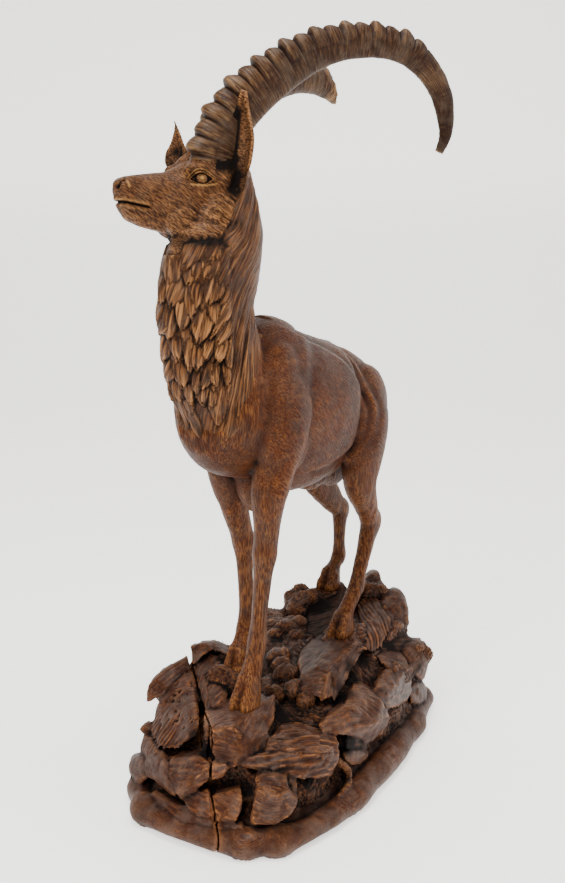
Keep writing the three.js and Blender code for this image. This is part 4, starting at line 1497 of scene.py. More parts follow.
        # Painted shade on the chest under the mane.
        shade_under_mane = bell(from_oval(co, (0, -146, 352), (40, 40, 24)), 1.0)
        shade_under_mane *= 0.24 + 0.16 * noise(co, 7, 43)
        skin.mark("cut", np.clip(skin.marks["cut"] + shade_under_mane, 0, 1))
        skin.mark("patch", 0.05 * low + 0.34 * hoof + 0.2 * ease(0.1, 0.9, noise(co, (30, 40, 30), 41)))
        return skin.finished("body_and_legs", FIGURE_FINISH, "ibex")

    def _hooves(self, co: Array) -> Array:
        """Where the horn of the hooves shows, from 0 to 1."""
        hoof = np.zeros(len(co))
        for joints, _, height in self.legs:
            x, y, z = joints[-1]
            coronet = z - self.coronet * height + self.coronet_slope * (co[:, 1] - y)
            near = np.hypot(co[:, 0] - x, co[:, 1] - y + 5) < self.hoof_reach
            hoof = np.maximum(hoof, near * ease(1.5, -1.5, co[:, 2] - coronet))
        return hoof

    @staticmethod
    def _chest_hair(co: Array) -> Array:
        """Wavy strands where the mane runs out over the chest and shoulder."""
        x, y, z = np.abs(co[:, 0]), co[:, 1], co[:, 2]
        gap = from_oval(co, (0, -140, 372), (60, 52, 46))
        wave = z + 0.55 * y + 6 * np.sin(z / 17) + 5 * np.sin(x / 11)
        strands = 1 - 2 * np.abs(noise(columns(x + 0.5 * y, wave / 5, wave / 60), 5, 37))
        return 1.2 * strands * (1 - ease(0.6, 1.1, gap))

    def _muscles(self, co: Array) -> Array:
        """Ridges and hollows of the shoulder, ribs and flank, on both sides."""
        flipped = co * np.where(co[:, :1] < 0, [-1, 1, 1], [1, 1, 1])
        height = np.zeros(len(co))
        for line, rise, inner, outer, dip, at, width in (
            (self.shoulder, 0.8, 18, 8, 1.3, 12, 10), (self.rib_edge, 1.3, 16, 4.5, 1.3, 8, 6),
        ):
            away = self._beside(flipped, line)
            height += rise * np.where(away < 0, np.exp(np.minimum(away, 0) / inner), bell(away, outer))
            height -= dip * bell(away - at, width)
        away = self._beside(flipped, self.flank)
        return height + 1.5 * bell(away, 4.2) - 0.6 * bell(away + 7, 5) - 1.2 * bell(away - 9, 6)

    @staticmethod
    def _beside(co: Array, line: Knots) -> Array:
        """Distance from a line on the flank, above zero behind it and below zero before it."""
        path = spline(line, np.linspace(0, 1, 70))
        index = nearest_on(path, co)
        out, way = co - path[index], np.gradient(path, axis=0)[index]
        return np.linalg.norm(out, axis=1) * np.sign(way[:, 1] * out[:, 2] - way[:, 2] * out[:, 1])


# Horns


@dataclass
class Horn:
    """A swept-back horn with large and small knobs by turns on its front."""

    side: Side
    spread: float = 15.0
    set_back: float = 0.0
    pitched: float = 0.0
    splay: float = 5.0
    slim: float = 1.0
    broken_at: Optional[float] = None
    knobs: int = 19
    ribbed: float = 0.74
    path: Knots = (
        (-19, 14), (-18, 28), (-12, 46), (-1, 63), (10, 75), (21, 84), (37, 96), (56, 107), (79, 115),
        (102, 118), (121, 117), (136, 113), (148, 106), (158, 97), (168, 83), (174, 65), (175, 49),
        (171, 37),
    )
    girth: Knots = ((0, 18.6), (0.2, 18.2), (0.35, 15.8), (0.5, 12.6), (0.74, 10.6), (0.87, 8.6), (1, 3.6))
    whole_length: float = 330
    mean_girth: float = 14
    tear: float = 3.2
    slant: float = 0.75
    cut_off: float = 0.05
    torn: float = 0.035

    def __post_init__(self) -> None:
        """Works out how far the horn leans out per millimetre back and up."""
        self.flare, self.lean = (math.tan(math.radians(a)) for a in (self.spread, self.splay))

    def middle(self) -> Array:
        """The middle line in the head's frame, evenly spaced."""
        tip = math.radians(-self.pitched)
        places = []
        for back, up in self.path:
            y, z = back + 20, up - 14
            x = self.side.value * (self.flare * y + self.lean * z)
            y, z = y * math.cos(tip) - z * math.sin(tip), y * math.sin(tip) + z * math.cos(tip)
            places.append((x + self.side.value * 10.5, y - 20 + self.set_back, z + 14))
        dense = spline(places, np.linspace(0, 1, 1200))
        steps = np.concatenate([[0], np.cumsum(np.linalg.norm(np.diff(dense, axis=0), axis=1))])
        return self._along(np.linspace(0, steps[-1], 60), steps, dense)

    @staticmethod
    def _along(where: Array, stops: Array, places: Array) -> Array:
        """Places read off a line at some stops."""
        return np.transpose([np.interp(where, stops, part) for part in places.T])

    def swell(self, share: Array, turn: Array) -> Array:
        """How far the knobs and grooves stand out."""
        step = self.ribbed / self.knobs
        place = share / step
        knob = np.floor(place)
        part = place - knob
        big = knob % 2 == 1
        front = np.clip(np.sin(turn), 0, 1)
        flank = np.clip((np.sin(turn) + 0.55) / 1.2, 0, 1)
        crest = np.where(part < 0.42, ease(0.0, 0.3, part), 1 - 0.75 * ease(0.42, 1.0, part))
        rise = np.where(big, 0.27, 0.13) * crest * front**0.8
        rib = 0.055 * crest * flank
        groove = -0.085 * bell(np.minimum(part, 1 - part), 0.075) * flank**0.7
        ribbed = (1 - ease(self.ribbed - 0.012, self.ribbed + 0.01, share)) * ease(0.02, 0.05, share)
        return 1 + (rise + rib + groove) * ribbed

    def build(self, head: Head) -> Piece:
        """Makes the piece and dresses it.

        Args:
            head: The head that it stands in.

        Returns:
            The horn.
        """
        middle = self.middle()
        along = np.linspace(0, 1, len(middle))
        stops = [share for share, _ in self.girth]
        knots = np.interp(along, stops, np.linspace(0, 1, len(stops)))
        reach = spline([(*knot, 0) for knot in self.girth], knots)[:, 1]
        stations = [
            (*at, r * 0.66, r * (0.82 + a * 0.26), r * self.slim * (1.16 - a * 0.18))
            for at, r, a in zip(middle, reach, along)
        ]
        normal = np.array([1, -self.side.value * self.flare, -self.side.value * self.lean])
        form = swept(stations, 72, 440, side=unit(normal), swell=self.swell)
        if self.broken_at:
            self._break_off(form, middle, along)
        form.transform(head.placing)
        mesh = bpy.data.meshes.new("horn")
        form.to_mesh(mesh)
        form.free()
        skin = Skin(mesh)
        share, round_it = self._read(head.local(skin.co), middle)
        length = share * self.whole_length
        skin.push(0.28 * noise(skin.co, 9, 51) + 0.16 * noise(columns(length, round_it / 6, 0), 2.2, 53))
        skin.mark_relief(0.4, 2.0)
        ribs, lines = columns(length, round_it, share * 40), columns(round_it, length, share * 4)
        skin.mark("strand", np.where(share[:, None] > self.ribbed, lines, ribs))
        break_share = self.broken_at or 2
        torn = ease(break_share - self.torn, break_share, share)
        skin.mark("patch", np.clip(0.25 * ease(0.3, 0.9, noise(skin.co, 22, 57)) + 0.9 * torn, 0, 1))
        name = f"horn_{self.side.name.lower()}"
        return skin.finished(f"carved_{name}", HORN_FINISH, name)

    def _break_off(self, form: Form, middle: Array, along: Array) -> None:
        """Cuts the horn off in a ragged end."""
        at, ahead = self._along(np.array([self.broken_at, self.broken_at + 0.02]), along, middle)
        ahead = Vector(unit(ahead - at))
        at, slant = Vector(at), (ahead + Vector((0, 0, self.slant))).normalized()
        geometry = form.verts[:] + form.edges[:] + form.faces[:]
        cut = bmesh.ops.bisect_plane(form, geom=geometry, plane_co=at, plane_no=slant, clear_outer=True)
        keep_whole(form)
        rim = [e for e in cut["geom_cut"] if e.is_valid and isinstance(e, bmesh.types.BMEdge)]
        filled = bmesh.ops.holes_fill(form, edges=rim, sides=0)
        bmesh.ops.triangulate(form, faces=filled["faces"])

        def on_cut(vert: bmesh.types.BMVert) -> bool:
            """Whether a point lies on the cut."""
            return abs((vert.co - at).dot(slant)) < self.cut_off

        for _ in range(4):
            end = [e for e in form.edges if all(on_cut(v) for v in e.verts)]
            bmesh.ops.subdivide_edges(form, edges=end, cuts=1)
        for vert in filter(on_cut, form.verts):
            spot = np.array([vert.co])
            vert.co += ahead * float(self.tear * (noise(spot, 3.1, 61) + noise(spot, 1.3, 62) / 2)[0])

    def _read(self, co: Array, middle: Array) -> tuple[Array, Array]:
        """Share along the horn and distance round it for each place."""
        shares = np.linspace(0, 1, 400)
        fine = self._along(shares, np.linspace(0, 1, len(middle)), middle)
        index = nearest_on(fine, co)
        out = co - fine[index]
        beside = np.cross([1.0, 0, 0], unit(np.gradient(fine, axis=0))[index])
        angle = np.arctan2(out[:, 0], np.einsum("ij,ij->i", out, beside))
        return shares[index], angle * self.mean_girth


# The base


INWARD = (-0.5, 0.84, -0.19)
FRONT = (0.515, -0.857, 0)
STONE_TAPER = 0.86
ROUND_SWELL = 1.12


class Cut(Enum):
    """The ways in which a stone was worked."""

    FLAT = "flat"
    ROUND = "round"
    HOLED = "holed"
    FAN = "fan"


@dataclass(frozen=True)
class Stone:
    """A stone of the pile: its corners in the picture, each with its height off the evened side."""

    corners: Knots
    depth: float
    stroke: Knots = ((0, 0), (0, 0))
    groove: tuple[float, float] = (0.5, 4.6)
    tone: float = 0.0
    cut: Cut = Cut.FLAT

    def form(self, side: EvenedSide) -> Form:
        """The stone as a closed hull that reaches back into the pile."""
        front = np.rint([side.at(*corner) for corner in self.corners])
        middle = front.mean(0)
        back = middle + STONE_TAPER * (front - middle) + np.array(INWARD) * self.depth
        form = bmesh.new()
        for place in (*front, *back):
            form.verts.new(place)
        hull = bmesh.ops.convex_hull(form, input=form.verts)
        spare = {g for g in hull["geom_interior"] + hull["geom_unused"] if isinstance(g, bmesh.types.BMVert)}
        bmesh.ops.delete(form, geom=list(spare), context="VERTS")
        bmesh.ops.recalc_face_normals(form, faces=form.faces)
        if self.cut is Cut.ROUND:
            bmesh.ops.subdivide_edges(form, edges=form.edges, cuts=2, use_grid_fill=True)
            bmesh.ops.triangulate(form, faces=form.faces)
            for _ in range(3):
                bmesh.ops.smooth_vert(form, verts=form.verts, factor=0.5, use_axis_x=True, use_axis_y=True,
                                      use_axis_z=True)
            place = Matrix.Translation(-Vector(middle))
            bmesh.ops.scale(form, vec=(ROUND_SWELL,) * 3, verts=form.verts, space=place)
        return form

    def way(self, side: EvenedSide) -> Array:
        """The direction of the tool strokes."""
        start, end = (side.at(*place) for place in self.stroke)
        return unit(end - start)


# Corners across and down the picture and off the side, then the depth and the way of the strokes
STONES = {
    "cap_a": Stone(((146, 692, 3), (148, 685, 5), (155, 677, 6), (163, 670, 6), (172, 664, 5)), 16,
        ((148, 690), (172, 664)), tone=-0.1),
    "cap_b": Stone(((163, 670, 6), (172, 664, 6), (180, 659, 6), (188, 656, 6), (190, 667, 4),
        (178, 679, 5), (166, 688, 7), (155, 677, 8), (150, 690, 4)), 14, ((150, 690), (188, 660)),
        tone=-0.1),
    "cap_c": Stone(((146, 692, 3), (155, 677, 8), (166, 688, 7), (160, 696, 5), (151, 702, 3),
        (146, 703, 2), (147, 699, 3)), 14, ((148, 700), (166, 684)), tone=-0.1),
    "arch_a": Stone(((189, 646, 11), (200, 643, 11), (203, 656, 10), (197, 662, 10), (192, 667, 10)), 16,
        ((190, 666), (203, 648))),
    "arch_b": Stone(((200, 643, 11), (215, 642, 11), (213, 651, 9), (203, 656, 9)), 16, ((200, 650),
        (214, 646)), tone=0.1),
    "arch_c": Stone(((215, 642, 11), (225, 645, 10), (231, 649, 9), (231, 656, 8), (220, 652, 8),
        (213, 651, 9)), 16, ((213, 647), (230, 651)), tone=-0.2),
    "bowl": Stone(((192, 668, 2), (197, 660, 2), (210, 652, -2), (228, 652, -4), (238, 662, -4),
        (236, 674, -3), (230, 684, 0), (226, 703, 4), (212, 706, 5), (203, 706, 4), (198, 698, 3)), 20,
        ((200, 700), (226, 664)), groove=(0.7, 6), tone=-0.15),
    "stipple": Stone(((160, 699, 4), (172, 686, 6), (184, 675, 6), (192, 671, 5), (198, 700, 7),
        (200, 722, 8), (197, 734, 6), (178, 750, 7), (163, 750, 6), (154, 742, 4), (150, 730, 2),
        (153, 716, 2), (157, 705, 2)), 22, ((150, 746), (176, 726)), groove=(0.9, 5), cut=Cut.HOLED),
    "chip": Stone(((138, 730, 0), (142, 725, 1), (149, 721, 2), (152, 728, 3), (148, 733, 1),
        (142, 733, 0)), 9, ((138, 730), (150, 724))),
    "toe_a": Stone(((146, 733, 2), (142, 737, 1), (140, 745, 1), (140, 752, 1), (142, 757, 2),
        (152, 757, 4), (160, 752, 5), (150, 738, 3)), 20, ((142, 756), (152, 738))),
    "corner": Stone(((128, 768, 2), (129, 761, 2), (135, 757, 3), (144, 755, 4), (147, 765, 5),
        (147, 780, 4), (140, 786, 3), (133, 783, 2), (129, 778, 2)), 22, ((129, 764), (146, 774)),
        cut=Cut.ROUND),
    "egg_a": Stone(((142, 766, 5), (147, 758, 6), (158, 753, 7), (166, 757, 8), (166, 772, 9),
        (160, 784, 8), (150, 782, 6), (145, 776, 5)), 22, ((148, 760), (160, 782)), cut=Cut.ROUND),
    "egg_b": Stone(((158, 762, 8), (166, 757, 8), (168, 776, 8), (172, 787, 8), (178, 800, 6),
        (167, 795, 6), (153, 785, 6)), 20, ((158, 764), (174, 796)), cut=Cut.ROUND),
    "layer_a": Stone(((170, 760, 5), (180, 756, 6), (200, 756, 7), (210, 763, 8), (210, 769, 11),
        (200, 774, 12), (190, 786, 12), (181, 789, 12), (168, 776, 9)), 24, ((170, 766), (206, 762)),
        tone=-0.05),
    "layer_b": Stone(((168, 776, 9), (181, 789, 12), (190, 786, 12), (200, 774, 12), (210, 769, 11),
        (210, 781, 9), (203, 787, 8), (190, 793, 7), (180, 799, 6), (172, 787, 6)), 22, ((172, 782),
        (206, 776)), tone=0.1),
    "layer_c": Stone(((211, 763, 11), (226, 763, 12), (229, 768, 10), (224, 777, 10), (212, 781, 9)), 18,
        ((212, 772), (226, 768)), tone=0.25),
    "ledge_top": Stone(((203, 706, 4), (226, 704, 2), (240, 706, 2), (262, 696, 2), (268, 698, 2),
        (250, 712, 6), (233, 727, 9), (222, 728, 9), (210, 728, 9), (203, 720, 7)), 20, ((206, 716),
        (256, 700)), tone=0.05),
    "ledge_front": Stone(((210, 729, 8), (222, 729, 8), (233, 727, 8), (242, 736, 6), (240, 750, 8),
        (236, 768, 8), (228, 770, 7), (216, 762, 6), (210, 748, 6)), 22, ((212, 734), (238, 740)),
        tone=0.2),
    "ledge_side": Stone(((233, 727, 8), (250, 712, 7), (262, 700, 5), (276, 695, 3), (276, 716, 2),
        (268, 735, 3), (262, 748, 4), (250, 760, 5), (236, 768, 6), (240, 748, 8)), 22, ((238, 762),
        (272, 700)), groove=(0.6, 6), tone=0.15),
    "square": Stone(((213, 795, 6), (226, 792, 7), (241, 787, 7), (243, 800, 9), (242, 812, 8),
        (238, 822, 7), (217, 822, 7), (213, 806, 7)), 18, ((216, 800), (240, 812)), tone=0.3),
    "under_square": Stone(((213, 824, 5), (243, 824, 5), (247, 836, 5), (241, 846, 4), (222, 848, 3),
        (214, 840, 4)), 14, ((216, 828), (242, 838)), tone=0.1),
    "left_foot": Stone(((180, 799, 5), (195, 793, 6), (209, 789, 6), (212, 806, 6), (213, 820, 5),
        (198, 819, 5), (188, 808, 5)), 18, ((184, 800), (208, 812))),
    "left_low": Stone(((190, 812, 5), (213, 821, 6), (214, 842, 4), (200, 838, 4), (180, 824, 4),
        (165, 808, 3), (150, 796, 3), (152, 790, 4)), 16, ((156, 796), (206, 832)), tone=-0.1),
    "grey_a": Stone(((254, 779, 7), (262, 776, 7), (276, 775, 8), (287, 778, 8), (289, 790, 8),
        (280, 794, 12), (268, 792, 12), (257, 786, 11)), 24, ((258, 782), (286, 786)), tone=0.15),
    "grey_b": Stone(((257, 786, 11), (268, 792, 13), (280, 794, 12), (289, 790, 9), (300, 800, 7),
        (296, 810, 7), (290, 817, 7), (283, 821, 7), (275, 826, 6), (252, 825, 6), (249, 822, 6),
        (252, 805, 9), (254, 790, 9)), 24, ((254, 800), (292, 806)), tone=0.2),
    "log_a": Stone(((266, 746, 7), (270, 737, 6), (280, 730, 6), (293, 727, 6), (305, 729, 6),
        (320, 735, 7), (339, 741, 9), (340, 752, 12), (320, 753, 13), (290, 752, 13), (265, 756, 10)), 26,
        ((262, 752), (338, 748)), groove=(1.3, 6.5), tone=0.25),
    "log_b": Stone(((236, 766, 6), (250, 756, 8), (265, 751, 10), (290, 752, 13), (320, 753, 13),
        (340, 752, 12), (340, 759, 10), (336, 768, 8), (330, 776, 6), (318, 780, 5), (300, 780, 4),
        (275, 771, 6), (250, 769, 6)), 24, ((240, 764), (338, 757)), groove=(1.5, 6.5), tone=0.05),
    "two_a": Stone(((317, 725, 3), (330, 715, 6), (343, 706, 9), (350, 708, 12), (377, 721, 12),
        (377, 731, 8), (362, 738, 6), (342, 736, 4), (326, 732, 3)), 26, ((322, 724), (374, 720)),
        groove=(0.6, 6), tone=0.1),
    "two_b": Stone(((343, 706, 9), (352, 701, 8), (353, 684, 4), (362, 685, 5), (372, 691, 6),
        (381, 701, 8), (388, 711, 9), (390, 718, 8), (377, 722, 12), (350, 708, 12)), 26, ((352, 690),
        (386, 714)), tone=0.3),
    "two_c": Stone(((377, 721, 12), (390, 717, 8), (388, 727, 5), (380, 737, 4), (366, 745, 3),
        (362, 738, 6), (377, 731, 8)), 22, ((368, 740), (388, 724))),
    "right_a": Stone(((376, 656, 3), (386, 651, 3), (400, 651, 5), (406, 660, 7), (411, 670, 8),
        (412, 680, 9), (403, 674, 10), (391, 668, 9), (381, 664, 6)), 28, ((380, 656), (408, 668)),
        tone=0.1),
    "right_b": Stone(((373, 690, 2), (379, 676, 4), (385, 669, 7), (391, 668, 9), (403, 674, 10),
        (412, 681, 9), (411, 692, 8), (407, 701, 6), (398, 708, 4), (388, 709, 3), (382, 702, 3)), 28,
        ((380, 690), (408, 690)), groove=(0.6, 7), tone=0.1),
    "right_c": Stone(((400, 648, 3), (411, 640, 3), (420, 641, 3), (427, 649, 2), (429, 660, 2),
        (429, 672, 2), (425, 680, 3), (415, 681, 5), (411, 668, 6), (405, 656, 5)), 26, ((408, 646),
        (426, 676)), groove=(0.9, 4.6), tone=0.1, cut=Cut.ROUND),
    "right_d": Stone(((380, 650, 1), (379, 640, 0), (390, 635, 0), (405, 634, 1), (413, 638, 2),
        (411, 646, 3), (400, 651, 3), (388, 652, 3)), 22, ((382, 642), (408, 640)), tone=-0.4),
    "right_e": Stone(((410, 690, 6), (415, 683, 5), (424, 682, 3), (427, 690, 2), (427, 702, 2),
        (420, 707, 3), (411, 704, 4)), 16, ((412, 694), (426, 694)), cut=Cut.ROUND),
    "rear_a": Stone(((383, 594, 0), (394, 588, 0), (401, 590, 0), (406, 597, 0), (409, 608, 0),
        (410, 621, 0), (405, 632, 1), (394, 638, 4), (384, 630, 5), (382, 608, 4)), 28, ((386, 596),
        (404, 630)), cut=Cut.ROUND),
    "rear_b": Stone(((364, 577, -6), (374, 571, -6), (380, 572, -6), (382, 580, -6), (382, 594, -4),
        (372, 598, -2), (364, 592, -4)), 26, ((366, 578), (378, 594)), tone=0.1, cut=Cut.ROUND),
    "fan": Stone(((356, 606, 4), (364, 598, 3), (378, 598, 3), (388, 605, 4), (394, 614, 5), (392, 624, 7),
        (386, 634, 8), (382, 648, 8), (372, 654, 7), (366, 650, 8), (368, 636, 10), (360, 620, 9)), 26,
        groove=(1.3, 3.6), cut=Cut.FAN),
    "slope_a": Stone(((300, 652, 4), (312, 641, 3), (326, 632, 2), (334, 636, 2), (346, 638, 3),
        (352, 644, 7), (344, 653, 10), (338, 664, 10), (335, 678, 9), (326, 671, 9), (318, 667, 8),
        (300, 676, 7), (296, 666, 5)), 26, ((304, 668), (330, 638)), groove=(0.45, 3), tone=-0.05),
    "slope_b": Stone(((352, 644, 7), (362, 629, 3), (367, 632, 2), (366, 646, 2), (356, 660, 2),
        (344, 680, 1), (334, 704, 2), (331, 696, 5), (335, 678, 9), (338, 664, 10), (344, 653, 10)), 22,
        ((336, 694), (362, 638)), tone=0.15),
    "block_a": Stone(((299, 677, 7), (318, 667, 9), (326, 674, 12), (324, 688, 12), (321, 698, 9),
        (310, 694, 8), (300, 690, 7)), 22, ((302, 684), (322, 684)), tone=0.15),
    "block_b": Stone(((326, 674, 12), (331, 671, 10), (334, 682, 8), (332, 696, 6), (320, 703, 6),
        (324, 688, 12)), 20, ((328, 676), (326, 698)), tone=0.35),
    "small": Stone(((343, 752, 4), (358, 751, 5), (370, 752, 5), (370, 760, 5), (362, 767, 4),
        (352, 768, 4), (345, 760, 4)), 18, ((346, 758), (368, 758)), tone=0.1, cut=Cut.ROUND),
    "step": Stone(((345, 740, 2), (356, 738, 3), (368, 742, 3), (368, 750, 4), (346, 750, 4)), 12,
        ((346, 745), (366, 745)), tone=-0.5),
    "back_dark": Stone(((314, 590, -8), (330, 584, -8), (344, 582, -6), (352, 598, -4), (344, 622, 0),
        (326, 634, 1), (306, 634, 0), (306, 610, -4)), 40, ((312, 600), (344, 600)), tone=-0.5),
}

# Rough lumps of stump and root: middle and half sizes
LUMPS = (
    ((-18, -93, 93), (23, 13, 22)), ((-44, 95, 112), (13, 12, 14)), ((-51, 102, 122), (9, 8, 8)),
    ((-36, 98, 118), (8, 9, 10)), ((-46, 84, 106), (12, 10, 10)), ((-34, 43, 102), (12, 12, 9)),
    ((-27, 57, 104), (8, 8, 8)), ((-38, 29, 98), (9, 10, 8)), ((-18, 34, 101), (9, 8, 6)),
    ((-10, -11, 98), (10, 14, 7)), ((14, -40, 96), (10, 13, 8)), ((34, -58, 92), (9, 11, 9)),
    ((50, -64, 87), (8, 9, 8)), ((24, -74, 92), (8, 10, 7)), ((2, -28, 97), (9, 10, 7)),
)

# A bent twig by the log
TWIG = ((94, -88, 54, 2.4), (97, -74, 40, 2.6), (98, -70, 30, 2.6), (98, -77, 24, 2.4), (97, -90, 22, 2.0))

# Painted shadows in the deep corners: middle and radius
PAINTED_SHADOWS = (
    ((-4, -156, 76), 13), ((8, -160, 70), 9), ((-30, -62, 103), 16), ((-10, -104, 95), 11),
    ((44, -92, 88), 14), ((93, -66, 56), 12), ((-30, 16, 100), 10), ((88, -120, 46), 10),
    ((50, -163, 50), 9), ((56, -164, 30), 8), ((72, -34, 84), 16), ((62, 2, 90), 16), ((58, 34, 92), 12),
    ((62, 80, 88), 10), ((86, 100, 66), 7), ((-20, 90, 104), 18), ((5, -172, 24), 8),
)

FAN_AT = (30, 50, 96)


@dataclass
class Roll:
    """The roll moulding round the foot, like a twig swollen at its knots."""

    length: float = 362
    width: float = 190
    squareness: float = 3.2
    turn: float = 3.5
    proud: float = 1.0
    radius: float = 9.8
    highest: float = 12.5
    knot_reach: float = 5.5
    knots: tuple[float, ...] = (-114, -72, -56, -12, 0, 16, 42, 76, 112, 150, 196, 226)

    def outline(self, degrees: Array) -> Array:
        """Places on the foot's outline, in plan."""
        angle = np.radians(degrees)
        x, y = (
            np.sign(part) * np.abs(part) ** (2 / self.squareness) * (size / 2 + self.proud)
            for part, size in ((np.cos(angle), self.width), (np.sin(angle), self.length))
        )
        return (columns(x, y, 0) @ rotation_about_z(self.turn))[:, :2]

    def forms(self) -> list[Form]:
        """The roll as four bars that run into one another."""
        bars = []
        for start in range(-120, 240, 90):
            degrees = np.linspace(start - 4, start + 94, 50)
            swell = sum(bell((degrees - knot + 180) % 360 - 180, self.knot_reach) for knot in self.knots)
            radius = self.radius * (1 + 0.42 * np.minimum(swell, 1)) * (1 + 0.05 * np.sin(degrees * 0.21))
            places = zip(self.outline(degrees), radius)
            stations = [(*at, self.radius * 1.08, min(r, self.highest), r, r) for at, r in places]
            bars.append(swept(stations, 26, 110, side=(0, 0, 1)))
        return bars


@dataclass
class Crack:
    """The drying crack that runs in from the front rim."""

    rim: tuple[float, float] = (35, -184)
    end: tuple[float, float] = (-70, -75)
    half_width: float = 1.0
    depth: float = 13.0
    top: float = 104.0
    before: float = 30.0
    stray: float = 1.3
    stray_over: float = 21

    def __post_init__(self) -> None:
        """Works out the crack's length and directions in plan."""
        start, end = np.array(self.rim, float), np.array(self.end, float)
        self.length = float(np.linalg.norm(end - start))
        self.way = (end - start) / self.length
        self.across = np.array([-self.way[1], self.way[0]])

    def _wander(self, skin: Skin) -> Array:
        """How far the crack strays to the side as it climbs."""
        heights = columns(skin.co[:, 2], 0, 0)
        return self.stray * noise(heights, self.stray_over, 91)[:, None] * self.across

    def _near(self, face: bmesh.types.BMFace) -> bool:
        """Whether the crack may run through a face."""
        middle = face.calc_center_median()
        gap = np.array(middle.xy) - self.rim
        facing = face.normal.y < 0.35 or face.normal.z > 0.5
        beside = abs(gap @ self.across) < 8 and -self.before < gap @ self.way < self.length + 4
        return facing and middle.z > -1 and beside

    def open(self, skin: Skin) -> Array:
        """Cuts the crack into the skin.

        Args:
            skin: The base.

        Returns:
            Where the crack is, from 0 to 1.
        """
        skin.co[:, :2] += self._wander(skin)
        skin.write()
        form = form_of(skin.mesh)
        for shift in (-1, 0, 1):
            faces = [f for f in form.faces if self._near(f)]
            edges = {e for f in faces for e in f.edges}
            verts = {v for f in faces for v in f.verts}
            line = np.array(self.rim) + self.across * shift * self.half_width
            bmesh.ops.bisect_plane(form, geom=[*verts, *edges, *faces], dist=1e-4, plane_co=(*line, 0),
                                   plane_no=(*self.across, 0))
        form.to_mesh(skin.mesh)
        form.free()
        skin.read()
        gap = skin.co[:, :2] - self.rim
        reach = gap @ self.way
        normal = skin.normals()
        inside = bell(gap @ self.across, 0.35 * self.half_width)
        inside *= (reach > -self.before) & (reach < self.length + 3)
        inside *= (normal[:, 1] < 0.35) | (normal[:, 2] > 0.5)
        inside *= 1 - ease(self.top, self.top + 4, skin.co[:, 2])
        inward = np.array([*self.way, 0]) * 0.8 - 0.6 * normal
        skin.co += (inside * self.depth * (1 - 0.5 * ease(60, 100, skin.co[:, 2])))[:, None] * inward
        skin.co[:, :2] -= self._wander(skin)
        skin.co[:, 2] = np.maximum(skin.co[:, 2], 0)
        return inside


